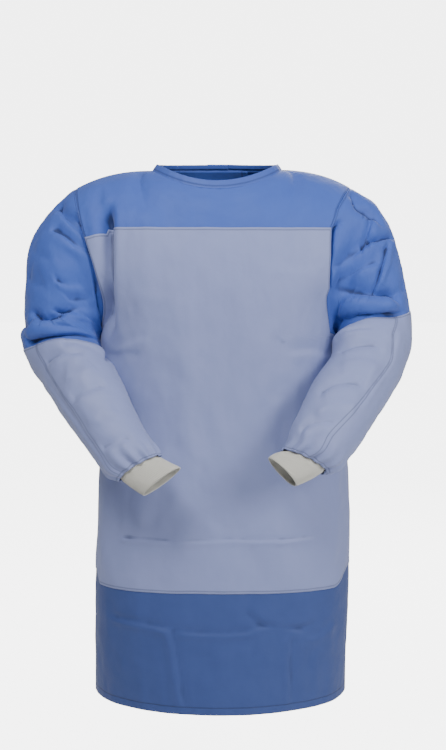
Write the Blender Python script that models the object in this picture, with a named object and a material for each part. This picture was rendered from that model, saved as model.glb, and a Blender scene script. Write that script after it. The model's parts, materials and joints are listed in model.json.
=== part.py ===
"""Surgical gown in its worn form: thin cloth walls, open at neck, cuffs and hem.

Metres, +Z up. The gown faces -Y, and the origin is the middle of the neck opening at shoulder height.
Every wall is worked out from a smooth surface, whose sizes are in the tables below.
"""

import math
from collections import namedtuple

import bpy
import numpy as np

# Cloth and seams
CLOTH = 0.0015
CUFF_CLOTH = 0.002
BINDING_CLOTH = 0.0024
SEAM_GAP = 0.0004
LAP_LIFT = CLOTH + SEAM_GAP
LOOSE_LIFT = CLOTH + 0.0006
LAP = 0.012

# Heights of the front's cross seams
YOKE_SEAM_Z = -0.130
HEM_SEAM_Z = -0.882
HEM_Z = -1.135
UNDERARM_Z = -0.363

# Body sections, bottom to top. depth is from the middle to the front or back, squareness 2 is an ellipse,
# and reach is the half width at which the panel ends, at the armhole or at the side seam.
BodySection = namedtuple("BodySection", "z centre_x half_width front_depth back_depth squareness reach")
BODY_SECTIONS = (
    BodySection(-1.160, 0.000, 0.275, 0.190, 0.186, 1.98, 0.275),
    BodySection(-1.135, 0.000, 0.275, 0.189, 0.185, 2.00, 0.275),
    BodySection(-1.000, 0.002, 0.275, 0.182, 0.180, 2.40, 0.275),
    BodySection(-0.882, 0.004, 0.275, 0.176, 0.174, 2.70, 0.275),
    BodySection(-0.740, 0.008, 0.272, 0.170, 0.168, 2.65, 0.272),
    BodySection(-0.630, 0.009, 0.266, 0.165, 0.162, 2.50, 0.266),
    BodySection(-0.520, 0.006, 0.243, 0.158, 0.158, 2.35, 0.243),
    BodySection(-0.430, 0.001, 0.233, 0.156, 0.160, 2.35, 0.233),
    BodySection(-0.363, 0.000, 0.239, 0.156, 0.163, 2.40, 0.239),
    BodySection(-0.290, -0.002, 0.258, 0.156, 0.165, 2.50, 0.243),
    BodySection(-0.217, -0.004, 0.310, 0.150, 0.164, 2.50, 0.256),
    BodySection(-0.147, -0.006, 0.328, 0.138, 0.158, 2.50, 0.276),
    BodySection(-0.130, -0.006, 0.330, 0.134, 0.155, 2.50, 0.281),
    BodySection(-0.100, -0.006, 0.334, 0.126, 0.150, 2.50, 0.288),
)

# Shoulders and neckline, measured at the seam where the binding is sewn on
SHOULDER_TIP_X = 0.294
SHOULDER_TIP_Y = 0.004
SHOULDER_TIP_Z = -0.046
SHOULDER_CENTRE_X = -0.014
SHOULDER_FALL_POWER = 2.4
NECK_CENTRE_X = -0.006
NECK_HALF_WIDTH = 0.136
NECK_FRONT_Y = -0.098
NECK_BACK_Y = 0.084
NECK_SIDE_Z = -0.008
NECK_FRONT_Z = -0.048
NECK_BACK_Z = -0.004
NECK_SHARE = 0.44
YOKE_RISE = 0.150
NECK_ARRIVAL = math.radians(50.0)

# The binding's free edge, towards the neck
BINDING_HALF_WIDTH = 0.128
BINDING_FRONT_Y = -0.093
BINDING_BACK_Y = 0.079
BINDING_SIDE_Z = 0.004
BINDING_FRONT_Z = -0.034
BINDING_BACK_Z = 0.008
BINDING_GAP = 0.0006
BINDING_LAP_PLACE = 0.25

# Large folds of the body. Each runs from (x0, z0) to (x1, z1) on its side; depth below 0 is a trough.
BodyFold = namedtuple("BodyFold", "side x0 z0 x1 z1 width depth")
BODY_FOLDS = (
    BodyFold("front", -0.230, -0.095, -0.224, -0.345, 0.011, -0.012),
    BodyFold("front", -0.196, -0.120, -0.196, -0.400, 0.022, 0.006),
    BodyFold("front", 0.226, -0.150, 0.222, -0.345, 0.012, -0.010),
    BodyFold("front", 0.196, -0.120, 0.196, -0.400, 0.022, 0.005),
    BodyFold("front", -0.225, -0.757, 0.215, -0.762, 0.011, 0.004),
    BodyFold("front", -0.215, -0.775, 0.205, -0.780, 0.014, -0.004),
    BodyFold("front", -0.235, -0.950, 0.000, -0.968, 0.013, 0.005),
    BodyFold("front", 0.020, -0.968, 0.225, -0.950, 0.013, 0.005),
    BodyFold("front", -0.140, -0.975, -0.105, -1.160, 0.016, 0.007),
    BodyFold("front", 0.120, -0.980, 0.135, -1.160, 0.016, 0.006),
    BodyFold("front", 0.222, -0.870, 0.230, -1.150, 0.015, 0.007),
    BodyFold("front", -0.242, -0.870, -0.240, -1.150, 0.014, 0.006),
    BodyFold("front", -0.060, -0.450, -0.075, -0.720, 0.024, 0.005),
    BodyFold("front", 0.078, -0.330, 0.095, -0.640, 0.022, 0.005),
    BodyFold("front", 0.005, -0.600, 0.010, -0.840, 0.034, -0.005),
    BodyFold("back", -0.150, -0.180, -0.110, -0.600, 0.026, -0.007),
    BodyFold("back", 0.140, -0.200, 0.105, -0.560, 0.026, -0.007),
    BodyFold("back", -0.165, -0.520, -0.190, -1.160, 0.030, 0.009),
    BodyFold("back", 0.150, -0.480, 0.180, -1.160, 0.030, 0.009),
    BodyFold("back", 0.085, -0.620, 0.090, -1.160, 0.026, -0.007),
    BodyFold("back", -0.100, -0.700, -0.115, -1.160, 0.026, -0.006),
)

# Front and back panels: rows of points up each piece, columns across it
YOKE_ROWS = 5
ARMHOLE_ROWS = 5
WAIST_ROWS = 10
SKIRT_ROWS = 5
BACK_ARMHOLE_ROWS = 6
BACK_LOWER_ROWS = 13
SIDE_FOLD_X = 0.226
NECK_COLUMNS = 6
MIDDLE_COLUMNS = 5
FOLD_COLUMNS = 4
EDGE_COLUMNS = 2
FOLD_BAND = 0.055
BACK_NECK_COLUMNS = 4
BACK_COLUMNS = 6
OVERLAP_COLUMNS = 8

# Half of the back overlap, as a share of the way from the middle to the side
OVERLAP_TOP_SHARE = 0.14
OVERLAP_HEM_SHARE = 0.30

# Sleeve sections along the arm. outer and inner are its two edges in the XZ plane as seen from the front,
# y is where the section's middle lies, half_depth is half its size across those edges.
SleeveSection = namedtuple("SleeveSection", "outer_x outer_z inner_x inner_z y half_depth")
RIGHT_SLEEVE = (
    SleeveSection(-0.356, -0.086, -0.249, -0.348, 0.000, 0.093),
    SleeveSection(-0.401, -0.150, -0.257, -0.344, -0.005, 0.093),
    SleeveSection(-0.417, -0.257, -0.261, -0.353, -0.012, 0.090),
    SleeveSection(-0.421, -0.340, -0.256, -0.367, -0.026, 0.086),
    SleeveSection(-0.423, -0.373, -0.249, -0.381, -0.036, 0.085),
    SleeveSection(-0.402, -0.418, -0.241, -0.392, -0.056, 0.082),
    SleeveSection(-0.364, -0.466, -0.226, -0.408, -0.094, 0.076),
    SleeveSection(-0.316, -0.522, -0.198, -0.451, -0.156, 0.068),
    SleeveSection(-0.271, -0.572, -0.165, -0.511, -0.206, 0.060),
    SleeveSection(-0.240, -0.606, -0.140, -0.550, -0.232, 0.053),
    SleeveSection(-0.219, -0.626, -0.127, -0.567, -0.244, 0.045),
    SleeveSection(-0.198, -0.631, -0.118, -0.583, -0.251, 0.031),
    SleeveSection(-0.175, -0.645, -0.100, -0.593, -0.260, 0.028),
    SleeveSection(-0.150, -0.660, -0.077, -0.602, -0.268, 0.0285),
)
LEFT_SLEEVE = (
    SleeveSection(0.331, -0.080, 0.253, -0.347, 0.000, 0.093),
    SleeveSection(0.368, -0.142, 0.259, -0.343, -0.008, 0.093),
    SleeveSection(0.394, -0.242, 0.259, -0.352, -0.016, 0.090),
    SleeveSection(0.405, -0.300, 0.256, -0.365, -0.026, 0.087),
    SleeveSection(0.408, -0.328, 0.251, -0.380, -0.034, 0.086),
    SleeveSection(0.404, -0.376, 0.243, -0.392, -0.056, 0.084),
    SleeveSection(0.374, -0.448, 0.226, -0.407, -0.094, 0.078),
    SleeveSection(0.326, -0.509, 0.190, -0.446, -0.156, 0.070),
    SleeveSection(0.289, -0.554, 0.163, -0.493, -0.206, 0.062),
    SleeveSection(0.260, -0.588, 0.140, -0.534, -0.232, 0.055),
    SleeveSection(0.234, -0.612, 0.134, -0.559, -0.244, 0.046),
    SleeveSection(0.209, -0.614, 0.123, -0.572, -0.251, 0.031),
    SleeveSection(0.180, -0.629, 0.108, -0.577, -0.260, 0.028),
    SleeveSection(0.149, -0.642, 0.096, -0.583, -0.268, 0.0285),
)
SLEEVE_SEAM_STATION = 5
SLEEVE_END_STATION = 12
CUFF_END_STATION = 14
UPPER_SLEEVE_ROWS = 12
LOWER_SLEEVE_ROWS = 12
CUFF_ROWS = 3
SLEEVE_LAP = 0.012
WAY_EVENING = 3

# Folds round a sleeve. at is the distance down it from the armhole, at angle degrees from the outer edge
# towards the front. spread is how far round the fold reaches, and slant how much further down it is a
# quarter turn on.
SleeveFold = namedtuple("SleeveFold", "sleeve at angle spread slant width depth")
SLEEVE_FOLDS = (
    SleeveFold("right", 0.185, 70, 60, 0.010, 0.020, -0.010),
    SleeveFold("right", 0.212, 75, 65, 0.004, 0.016, 0.006),
    SleeveFold("right", 0.240, 85, 70, -0.006, 0.018, -0.011),
    SleeveFold("right", 0.100, 112, 40, -0.030, 0.022, -0.007),
    SleeveFold("right", 0.150, 265, 60, 0.020, 0.022, -0.008),
    SleeveFold("right", 0.230, 275, 60, 0.010, 0.022, -0.009),
    SleeveFold("right", 0.370, 60, 60, 0.030, 0.026, -0.006),
    SleeveFold("left", 0.170, 80, 60, 0.034, 0.019, -0.013),
    SleeveFold("left", 0.200, 70, 60, 0.020, 0.016, 0.007),
    SleeveFold("left", 0.232, 85, 70, 0.018, 0.019, -0.012),
    SleeveFold("left", 0.070, 40, 42, 0.040, 0.017, -0.011),
    SleeveFold("left", 0.115, 95, 50, 0.036, 0.022, -0.007),
    SleeveFold("left", 0.150, 265, 60, 0.020, 0.022, -0.008),
    SleeveFold("left", 0.230, 275, 60, 0.010, 0.022, -0.009),
    SleeveFold("left", 0.370, 60, 60, 0.030, 0.026, -0.006),
)
GATHERS = 11
GATHER_DEPTH = 0.0022
GATHER_LENGTH = 0.045

# Back fastenings: a hook and loop tab at the neck, and flat waist ties knotted over the overlap
TAB_HEIGHT = 0.028
TAB_DROP = 0.012
TAB_START = -0.5
TIE_Z = -0.440
TIE_WIDTH = 0.026
TIE_CLOTH = 0.0014
TAIL_LENGTH = 0.220
KNOT_HEIGHT = 0.036
KNOT_BULGE = 0.010

# Colours as linear red, green and blue
SHADE_BLUE = (0.115, 0.215, 0.520, 1.0)
SHADE_PALE = (0.400, 0.450, 0.620, 1.0)
SHADE_KNIT = (0.720, 0.715, 0.660, 1.0)


def clear_scene():
    for item in list(bpy.data.objects):
        bpy.data.objects.remove(item, do_unlink=True)


def cloth_material(name, colour, roughness):
    made = bpy.data.materials.new(name)
    made.use_nodes = True
    shader = made.node_tree.nodes["Principled BSDF"]
    shader.inputs["Base Color"].default_value = colour
    shader.inputs["Roughness"].default_value = roughness
    shader.inputs["Metallic"].default_value = 0.0
    return made


def smoothstep(t):
    t = np.clip(t, 0.0, 1.0)
    return t * t * (3.0 - 2.0 * t)


def unit(vectors):
    length = np.linalg.norm(vectors, axis=-1, keepdims=True)
    return vectors / np.maximum(length, 1e-12)


def table_curve(rows, key, column, at):
    """A smooth curve through one column of a table, read where the key column equals at."""
    keys = np.array([getattr(row, key) for row in rows])
    values = np.array([getattr(row, column) for row in rows])
    slopes = np.gradient(values, keys)
    at = np.clip(at, keys[0], keys[-1])
    i = np.clip(np.searchsorted(keys, at) - 1, 0, len(keys) - 2)
    step = keys[i + 1] - keys[i]
    t = (at - keys[i]) / step
    return (
        (2 * t**3 - 3 * t**2 + 1) * values[i]
        + (t**3 - 2 * t**2 + t) * step * slopes[i]
        + (3 * t**2 - 2 * t**3) * values[i + 1]
        + (t**3 - t**2) * step * slopes[i + 1]
    )


def body_ring(side, s, z):
    """A point on the body below the yoke seam: s runs from -1 at one side to 1 at the other."""
    depth_column = "front_depth" if side == "front" else "back_depth"
    centre, half_width, depth, power, reach = (
        table_curve(BODY_SECTIONS, "z", column, z)
        for column in ("centre_x", "half_width", depth_column, "squareness", "reach")
    )
    ratio = np.clip(reach / half_width, 0.0, 1.0)
    ratio = np.where(z <= UNDERARM_Z, 1.0, ratio)
    last_angle = np.arcsin(ratio ** (power / 2.0))
    across = np.clip(np.abs(s), 0.0, 1.0)
    start = across ** (power / 2.0)
    even = start / (start + (1.0 - across) ** (power / 2.0))
    mix = smoothstep((ratio - 0.90) / 0.10)
    angle = last_angle * ((1.0 - mix) * start + mix * even)
    x = centre + np.sign(s) * half_width * np.sin(angle) ** (2.0 / power)
    y = depth * np.cos(angle) ** (2.0 / power)
    y = -y if side == "front" else y
    return np.stack([x, y, z + 0.0 * x], axis=-1)


def neck_curve(side, turn, half_width, front_y, back_y, side_z, front_z, back_z):
    """A neckline: turn is the angle from the middle of the front or back to the shoulder, signed like x."""
    end_y, end_z = (front_y, front_z) if side == "front" else (back_y, back_z)
    x = NECK_CENTRE_X + half_width * np.sin(turn)
    y = end_y * np.cos(turn)
    z = side_z + (end_z - side_z) * np.cos(turn) ** 2
    return np.stack([x, y, z], axis=-1)


def neck_seam(side, turn):
    return neck_curve(side, turn, NECK_HALF_WIDTH, NECK_FRONT_Y, NECK_BACK_Y, NECK_SIDE_Z, NECK_FRONT_Z, NECK_BACK_Z)


def binding_edge(side, turn):
    return neck_curve(
        side, turn, BINDING_HALF_WIDTH, BINDING_FRONT_Y, BINDING_BACK_Y, BINDING_SIDE_Z, BINDING_FRONT_Z, BINDING_BACK_Z
    )


def top_edge(side, s):
    """The panel's upper edge: the neck seam in the middle, then the shoulder out to its tip."""
    across = np.abs(s)
    sign = np.where(s < 0, -1.0, 1.0)
    neck = neck_seam(side, sign * np.minimum(across / NECK_SHARE, 1.0) * math.pi / 2)
    out = np.clip((across - NECK_SHARE) / (1.0 - NECK_SHARE), 0.0, 1.0)
    neck_x = NECK_CENTRE_X + sign * NECK_HALF_WIDTH
    tip_x = SHOULDER_CENTRE_X + sign * SHOULDER_TIP_X
    shoulder = np.stack(
        [
            neck_x + (tip_x - neck_x) * out,
            SHOULDER_TIP_Y * out,
            NECK_SIDE_Z + (SHOULDER_TIP_Z - NECK_SIDE_Z) * out**SHOULDER_FALL_POWER,
        ],
        axis=-1,
    )
    return np.where((across <= NECK_SHARE)[..., None], neck, shoulder)


def top_way(side, s):
    """The way a column arrives at the upper edge: square to the neckline, or straight over the shoulder."""
    across = np.abs(s)
    rising = smoothstep(across / NECK_SHARE)
    falling = smoothstep((across - NECK_SHARE) / 0.24)
    turn = NECK_ARRIVAL * rising * (1.0 - falling)
    back = 1.0 if side == "front" else -1.0
    lean = 0.85 * (1.0 - rising)
    return unit(np.stack([-np.sign(s) * np.sin(turn), back * np.cos(turn), 1.2 * lean + 0.0 * turn], axis=-1))


def body_base(side, s, v):
    """The body without folds. v is the height up to the yoke seam, and runs on over the shoulder above it."""
    s, v = np.broadcast_arrays(np.asarray(s, float), np.asarray(v, float))
    below = body_ring(side, s, np.minimum(v, YOKE_SEAM_Z))
    step = 0.004
    start = body_ring(side, s, np.full_like(v, YOKE_SEAM_Z))
    start_way = unit(start - body_ring(side, s, np.full_like(v, YOKE_SEAM_Z - step)))
    end, end_way = top_edge(side, s), top_way(side, s)
    span = np.linalg.norm(end - start, axis=-1, keepdims=True)
    t = np.clip((v - YOKE_SEAM_Z) / YOKE_RISE, 0.0, 1.0)[..., None]
    above = (
        (2 * t**3 - 3 * t**2 + 1) * start
        + (t**3 - 2 * t**2 + t) * span * start_way
        + (3 * t**2 - 2 * t**3) * end
        + (t**3 - t**2) * span * end_way
    )
    return np.where((v > YOKE_SEAM_Z)[..., None], above, below)


def fold_height(folds, x, z):
    """How far the named folds lift the cloth at (x, z)."""
    total = np.zeros(np.broadcast(x, z).shape)
    for fold in folds:
        way_x, way_z = fold.x1 - fold.x0, fold.z1 - fold.z0
        length = math.hypot(way_x, way_z)
        along = ((x - fold.x0) * way_x + (z - fold.z0) * way_z) / length
        across = ((x - fold.x0) * way_z - (z - fold.z0) * way_x) / length
        fade = 0.25 * length
        window = smoothstep(along / fade + 0.5) * smoothstep((length - along) / fade + 0.5)
        total = total + fold.depth * np.exp(-((across / fold.width) ** 2)) * window
    return total


def slopes_normal(surface, u, v, du, dv):
    along_u = surface(u + du, v) - surface(u - du, v)
    along_v = surface(u, v + dv) - surface(u, v - dv)
    return unit(np.cross(along_u, along_v))


def body_surface(side):
    """The body with its folds, as a function of s and v, and its outward normal."""
    outward = 1.0 if side == "front" else -1.0
    folds = [fold for fold in BODY_FOLDS if fold.side == side]

    def folded(s, v):
        base = body_base(side, s, v)
        normal = outward * slopes_normal(lambda a, b: body_base(side, a, b), s, v, 1e-3, 1e-3)
        side_calm = smoothstep((1.0 - np.abs(s)) / 0.06)[..., None]
        top_calm = smoothstep((YOKE_SEAM_Z + YOKE_RISE - v) / 0.04)[..., None]
        lift = fold_height(folds, base[..., 0], base[..., 2])[..., None]
        return base + normal * lift * side_calm * top_calm

    def inside(s, v, inset=2e-3):
        return np.clip(s, -1.0 + inset, 1.0 - inset), np.minimum(v, YOKE_SEAM_Z + YOKE_RISE - inset)

    def normal(s, v):
        s, v = np.broadcast_arrays(np.asarray(s, float), np.asarray(v, float))
        found = outward * slopes_normal(folded, *inside(s, v), 1e-3, 1e-3)
        at_side = smoothstep((np.abs(s) - 0.93) / 0.065) * smoothstep((UNDERARM_Z - v) / 0.02)
        at_shoulder = smoothstep((v - YOKE_SEAM_Z - YOKE_RISE + 0.02) / 0.018)
        at_shoulder = at_shoulder * smoothstep((np.abs(s) - NECK_SHARE + 0.02) / 0.04)
        meeting = np.maximum(at_side, at_shoulder)[..., None]
        return unit(found * (1.0 - meeting * np.array([0.0, 1.0, 0.0])))

    return folded, normal


FRONT, FRONT_NORMAL = body_surface("front")
BACK, BACK_NORMAL = body_surface("back")


def build_wall(name, outer, inner, material, around=False, guide=None):
    """A closed solid between two grids of points. Both faces are cut along the same diagonals, the
    shorter ones of the guide grid, so that walls made on one guide lie evenly on each other."""
    guide = outer if guide is None else guide
    rows, columns = outer.shape[:2]
    count = rows * columns
    points = np.concatenate([outer.reshape(-1, 3), inner.reshape(-1, 3)])

    def index(i, j, layer):
        return layer * count + i * columns + j % columns

    steps = columns if around else columns - 1
    faces = []
    for i in range(rows - 1):
        for j in range(steps):
            a, b, c, d = (i, j), (i, j + 1), (i + 1, j + 1), (i + 1, j)
            across = (j + 1) % columns
            rising = np.linalg.norm(guide[i, j] - guide[i + 1, across])
            falling = np.linalg.norm(guide[i, across] - guide[i + 1, j])
            halves = ((a, b, c), (a, c, d)) if rising < falling + 1e-6 else ((a, b, d), (b, c, d))
            for half in halves:
                faces.append([index(*corner, 0) for corner in half])
                faces.append([index(*corner, 1) for corner in reversed(half)])
    last, end = rows - 1, columns - 1
    for j in range(steps):
        faces.append([index(0, j + 1, 0), index(0, j, 0), index(0, j, 1), index(0, j + 1, 1)])
        faces.append([index(last, j, 0), index(last, j + 1, 0), index(last, j + 1, 1), index(last, j, 1)])
    if not around:
        for i in range(rows - 1):
            faces.append([index(i, 0, 0), index(i + 1, 0, 0), index(i + 1, 0, 1), index(i, 0, 1)])
            faces.append([index(i + 1, end, 0), index(i, end, 0), index(i, end, 1), index(i + 1, end, 1)])
    mesh = bpy.data.meshes.new(name)
    mesh.from_pydata([tuple(p) for p in points], [], faces)
    mesh.materials.append(material)
    mesh.shade_smooth()
    made = bpy.data.objects.new(name, mesh)
    bpy.context.scene.collection.objects.link(made)
    if signed_volume(mesh) < 0:
        mesh.flip_normals()
    return made


def signed_volume(mesh):
    mesh.calc_loop_triangles()
    total = 0.0
    for triangle in mesh.loop_triangles:
        a, b, c = (mesh.vertices[k].co for k in triangle.vertices)
        total += a.dot(b.cross(c)) / 6.0
    return total


def wall_on(name, surface, normal, s, v, material, lift=0.0, cloth=CLOTH):
    """A wall whose outer face is the surface moved out by lift."""
    points, ways = surface(s, v), normal(s, v)
    lift = np.broadcast_to(np.asarray(lift, float), points.shape[:2])[..., None]
    cloth = np.broadcast_to(np.asarray(cloth, float), points.shape[:2])[..., None]
    return build_wall(name, points + ways * lift, points + ways * (lift - cloth), material, guide=points)


def front_columns(v):
    """Columns across the front at height v, drawn close together along the long side folds."""
    reach = table_curve(BODY_SECTIONS, "z", "reach", np.clip(v, UNDERARM_Z, YOKE_SEAM_Z))
    fold = np.clip(SIDE_FOLD_X / reach, 0.80, 0.90)
    steps = (0.0, NECK_SHARE, fold - FOLD_BAND, fold + FOLD_BAND, 1.0)
    counts = (NECK_COLUMNS, MIDDLE_COLUMNS, FOLD_COLUMNS, EDGE_COLUMNS)
    half = [0.0]
    for start, end, count in zip(steps, steps[1:], counts):
        half.extend(np.linspace(start, end, count + 1)[1:])
    return np.concatenate([-np.array(half[:0:-1]), half])


def front_grid(rows):
    s = np.stack([edge_inset(front_columns(v), FRONT_ARC) for v in rows])
    return s, np.repeat(rows[:, None], s.shape[1], axis=1)


def grid(columns, rows):
    return np.meshgrid(columns, rows)


def edge_inset(s, side_arc):
    """Holds the side columns half a seam gap back from the panel's edge."""
    return s * (1.0 - 0.5 * SEAM_GAP / side_arc)


def panel_rows(low, high, count, extra=()):
    rows = np.linspace(low, high, count + 1)
    return np.unique(np.concatenate([rows, np.array(extra)])) if len(extra) else rows


FRONT_ARC = 0.31
YOKE_TOP_V = YOKE_SEAM_Z + YOKE_RISE - 0.0002
TAB_TOP_V = YOKE_TOP_V - TAB_DROP
TAB_LOW_V = TAB_TOP_V - TAB_HEIGHT


ABOVE_SEAM = panel_rows(YOKE_SEAM_Z, YOKE_TOP_V, YOKE_ROWS)
FRONT_ARMHOLE = panel_rows(UNDERARM_Z, YOKE_SEAM_Z - LAP, ARMHOLE_ROWS)
BACK_ARMHOLE = panel_rows(UNDERARM_Z, YOKE_SEAM_Z, BACK_ARMHOLE_ROWS)


def add_front(blue, pale):
    yoke = np.concatenate([[YOKE_SEAM_Z - LAP], ABOVE_SEAM])
    wall_on("front_yoke", FRONT, FRONT_NORMAL, *front_grid(yoke), blue)
    waist = panel_rows(HEM_SEAM_Z + LAP, UNDERARM_Z, WAIST_ROWS)
    panel = np.concatenate([[HEM_SEAM_Z], waist[:-1], FRONT_ARMHOLE, [YOKE_SEAM_Z]])
    wall_on("front_panel", FRONT, FRONT_NORMAL, *front_grid(panel), pale, lift=LAP_LIFT)
    below_seam = panel_rows(HEM_Z, HEM_SEAM_Z, SKIRT_ROWS)
    skirt = np.concatenate([below_seam, [HEM_SEAM_Z + LAP]])
    wall_on("front_skirt", FRONT, FRONT_NORMAL, *front_grid(skirt), blue)


def overlap_share(v):
    up = np.clip((v - HEM_Z) / (YOKE_TOP_V - HEM_Z), 0.0, 1.0)
    return OVERLAP_HEM_SHARE + (OVERLAP_TOP_SHARE - OVERLAP_HEM_SHARE) * up


def back_lift(s):
    """The upper back panel stands off the one it covers, and settles onto the seams at the side."""
    return LOOSE_LIFT * (1.0 - smoothstep((s - 0.36) / 0.40))


def back_heights():
    """Rows of the back panels, with the ones that the tab and the ties lie on."""
    named = [TIE_Z - KNOT_HEIGHT / 2, TIE_Z - TIE_WIDTH / 2, TIE_Z + TIE_WIDTH / 2, TIE_Z + KNOT_HEIGHT / 2]
    named += [TIE_Z - KNOT_HEIGHT / 2 - TAIL_LENGTH]
    even = panel_rows(HEM_Z, UNDERARM_Z, BACK_LOWER_ROWS)[:-1]
    clear = [v for v in even if min(abs(v - w) for w in named) > 0.018]
    above = [v for v in ABOVE_SEAM[1:] if min(abs(v - w) for w in (TAB_LOW_V, TAB_TOP_V)) > 0.006]
    return np.array(sorted([*clear, *named, *BACK_ARMHOLE, *above, TAB_LOW_V, TAB_TOP_V]))


def covered_columns(v, places):
    """Columns in the overlap: place runs from -1 at one free edge to 1 at the other."""
    edge = overlap_share(v)[:, None]
    return np.asarray(places)[None, :] * edge


def outside_columns(v, count=BACK_NECK_COLUMNS + BACK_COLUMNS):
    """Columns from the free edge out to the side, with one at the corner of the neck."""
    edge = overlap_share(v)[:, None]
    end = 1.0 - 0.5 * SEAM_GAP / FRONT_ARC
    near = np.linspace(0.0, 1.0, BACK_NECK_COLUMNS + 1)[None, 1:]
    far = np.linspace(0.0, 1.0, BACK_COLUMNS + 1)[None, 1:]
    near = edge + (NECK_SHARE - edge) * near
    far = NECK_SHARE + (end - NECK_SHARE) * far + 0.0 * edge
    return np.concatenate([near, far], axis=1)[:, :count]


OVERLAP_PLACES = np.linspace(-1.0, 1.0, OVERLAP_COLUMNS + 1)


def add_backs(blue):
    """Two back panels. Both use the same columns where one covers the other."""
    rows = back_heights()
    over = np.concatenate([covered_columns(rows, OVERLAP_PLACES), outside_columns(rows)], axis=1)
    height = np.repeat(rows[:, None], over.shape[1], axis=1)
    wall_on("back_left", BACK, BACK_NORMAL, over, height, blue, lift=back_lift(over))
    wall_on("back_right", BACK, BACK_NORMAL, -over[:, ::-1], height, blue)


def armhole_branch(side, sign):
    """Points and normals down one side of an armhole at the panels' own rows, shoulder tip to underarm."""
    surface, normal = (FRONT, FRONT_NORMAL) if side == "front" else (BACK, BACK_NORMAL)
    if side == "front":
        v = np.concatenate([ABOVE_SEAM[::-1], FRONT_ARMHOLE[::-1]])
    else:
        above = back_heights()
        v = above[above > UNDERARM_Z - 1e-6][::-1]
    s = np.full_like(v, sign)
    return surface(s, v), normal(s, v)


def armhole_loop(sign):
    """The armhole's corners with their angles: 0 is the shoulder tip, 90 front, 180 underarm, 270 back."""
    found = []
    for side, low in (("front", 0.0), ("back", 180.0)):
        points, ways = armhole_branch(side, sign)
        if side == "back":
            points, ways = points[::-1], ways[::-1]
        lengths = np.concatenate([[0.0], np.cumsum(np.linalg.norm(np.diff(points, axis=0), axis=1))])
        found.append((low + 180.0 * lengths / lengths[-1], points, ways))
    (front_turns, front, front_ways), (back_turns, back, back_ways) = found
    turns = np.concatenate([front_turns, back_turns[1:-1]])
    points = np.concatenate([front, back[1:-1]])
    ways = np.concatenate([front_ways, back_ways[1:-1]])
    return turns, points, ways


def calm_ways(points):
    """The direction along a line of points, evened out so that neighbouring sections turn gently."""
    lengths = np.concatenate([[0.0], np.cumsum(np.linalg.norm(np.diff(points, axis=0), axis=1))])
    ways = unit(np.gradient(points, lengths, axis=0))
    for _ in range(WAY_EVENING):
        padded = np.concatenate([ways[:1], ways, ways[-1:]])
        ways = unit(padded[:-2] + 2.0 * padded[1:-1] + padded[2:])
    return ways


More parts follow.
